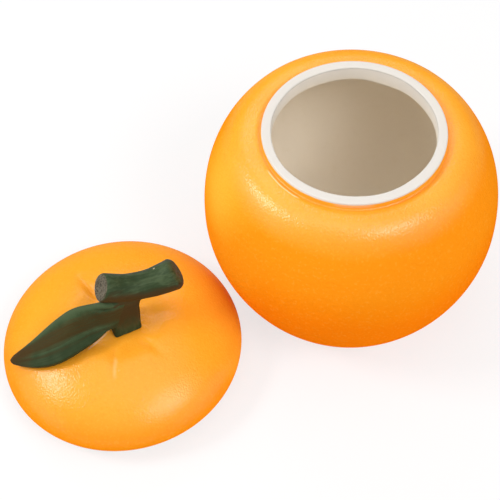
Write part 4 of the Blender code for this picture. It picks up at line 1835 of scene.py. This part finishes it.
    def build(self) -> bpy.types.Object:
        """Models and dresses the leaf.

        Returns:
            The leaf.
        """
        web = self.bridge()
        rim = self.roll("leaf_rim", self.rim())
        pick_nothing()
        bpy.ops.mesh.primitive_grid_add(x_subdivisions=56, y_subdivisions=22, size=2.0)
        made = started("leaf_blade")
        for vertex in made.data.vertices:
            vertex.co = self.place(0.5 * (vertex.co.x + 1.0), vertex.co.y)
        pick_only(made)
        bpy.ops.object.mode_set(mode="EDIT")
        bpy.ops.mesh.select_all(action="SELECT")
        bpy.ops.mesh.normals_make_consistent(inside=False)
        bpy.ops.object.mode_set(mode="OBJECT")
        apply_modifier(made, "SOLIDIFY", thickness=self.thick, offset=0.0)
        pick_only(made)
        rim.select_set(True)
        web.select_set(True)
        bpy.ops.object.join()
        knead(made, self.clay_grain, 8)
        self.paint_map(made)
        smooth(made, 80.0)
        dress(made, self.material(), Body.LID, "leaf")
        return made


# Studio


@dataclass
class Lamp:
    """A soft box, hung by its bearing and height as seen from the canister."""

    name: str
    bearing: float
    height: float
    distance: float
    wide: float
    tall: float
    power: float

    def build(self, aim: Vector) -> None:
        """Hangs the lamp.

        Args:
            aim: the place that it is turned to.
        """
        light = bpy.data.lights.new(self.name, "AREA")
        light.shape = "RECTANGLE"
        light.size, light.size_y = self.wide, self.tall
        light.energy = self.power
        made = bpy.data.objects.new(self.name, light)
        bpy.context.scene.collection.objects.link(made)
        bearing, height = math.radians(self.bearing), math.radians(self.height)
        level = math.cos(height)
        way = Vector((level * math.cos(bearing), level * math.sin(bearing), math.sin(height)))
        made.location = aim + way * self.distance
        made.rotation_euler = way.to_track_quat("Z", "Y").to_euler()


@dataclass
class Studio:
    """The white floor, the soft light and the camera of the photograph."""

    aim: Vector = field(default_factory=lambda: Vector((0.001749, 0.025089, 0.0)))
    depression: float = math.radians(55.446)
    distance: float = 0.505778
    roll: float = math.radians(-2.871)
    lens: float = 88.933
    lamps: Tuple[Lamp, ...] = (
        Lamp("left_soft_box", 182.0, 44.0, 0.95, 0.30, 0.20, 3.4),
        Lamp("right_soft_box", -48.0, 51.0, 0.95, 0.38, 0.28, 2.8),
        Lamp("camera_soft_box", -90.0, 64.0, 1.30, 1.80, 1.80, 3.2),
        Lamp("top_soft_box", 0.0, 88.0, 1.10, 0.90, 0.90, 1.95),
        Lamp("left_fill", 186.0, 13.0, 1.30, 1.60, 0.80, 3.7),
        Lamp("right_fill", -26.0, 12.0, 1.30, 1.60, 0.80, 3.0),
        Lamp("back_glow", 97.0, 42.0, 1.00, 0.70, 0.24, 1.7),
    )
    lamp_aim: Vector = field(default_factory=lambda: Vector((0.0, 0.0, 0.03)))
    sky: float = 0.30
    floor_size: float = 30.0
    paper: Colour = (0.90, 0.90, 0.90)
    glow: float = 0.70
    far: Point = (0.35, 0.90)

    def floor(self) -> None:
        """Lays the white floor, which keeps the shadow and shows pure white far off."""
        pick_nothing()
        bpy.ops.mesh.primitive_plane_add(size=self.floor_size, location=(0.0, 0.0, 0.0))
        made = started("white_floor")
        sheet = Sheet("white_paper")
        paper = sheet.node("ShaderNodeBsdfDiffuse", {}, {"Color": self.paper}).outputs[0]
        glow = sheet.node("ShaderNodeEmission", {}, {"Color": WHITE, "Strength": 1.0}).outputs[0]
        path = sheet.node("ShaderNodeLightPath", {}, {})
        rays = ("Is Camera Ray", "Is Glossy Ray", "Is Transmission Ray")
        camera, glossy, through = (Value(sheet, path.outputs[ray]) for ray in rays)
        far = sheet.radius(sheet.place()).step(*self.far)
        seen = (camera + glossy + through) * self.glow + camera * far * (1.0 - self.glow)
        made.data.materials.append(sheet.ended(sheet.layered(seen, paper, glow)))

    def sky_light(self) -> None:
        """Fills the room with even light, in front of a white background."""
        sheet = Sheet("white_room", world=True)
        light = sheet.node("ShaderNodeBackground", {}, {"Color": WHITE, "Strength": self.sky}).outputs[0]
        shown = sheet.node("ShaderNodeBackground", {}, {"Color": WHITE, "Strength": 1.0}).outputs[0]
        seen = sheet.node("ShaderNodeLightPath", {}, {}).outputs["Is Camera Ray"]
        bpy.context.scene.world = sheet.ended(sheet.layered(seen, light, shown))

    def camera(self) -> None:
        """Sets the camera where the photograph was taken from."""
        data = bpy.data.cameras.new("photo_camera")
        data.sensor_fit = "HORIZONTAL"
        data.sensor_width = 36.0
        data.lens = self.lens
        data.clip_start = 0.01
        made = bpy.data.objects.new("photo_camera", data)
        bpy.context.scene.collection.objects.link(made)
        fall, level = math.sin(self.depression), math.cos(self.depression)
        ahead = Vector((0.0, level, -fall))
        side, upward = Vector((1.0, 0.0, 0.0)), Vector((0.0, fall, level))
        right = side * math.cos(self.roll) + upward * math.sin(self.roll)
        up = upward * math.cos(self.roll) - side * math.sin(self.roll)
        turn = Matrix((right, up, -ahead)).transposed().to_4x4()
        made.matrix_world = Matrix.Translation(self.aim - ahead * self.distance) @ turn
        bpy.context.scene.camera = made

    def build(self) -> None:
        """Sets up the floor, the lamps and the camera."""
        self.floor()
        self.sky_light()
        for lamp in self.lamps:
            lamp.build(self.lamp_aim)
        self.camera()
        bpy.context.scene.view_settings.view_transform = "Standard"


def main() -> None:
    """Builds the studio and every piece of the canister."""
    logging.basicConfig(level=logging.INFO, format="%(name)s: %(message)s")
    Studio().build()
    lid = Lid()
    twig = Twig(lid)
    for piece in (Jar(), lid, Seal(), twig, Leaf(lid, twig)):
        made = piece.build()
        LOG.info("built %s", made.name)
    pick_nothing()


if __name__ == "__main__":
    main()
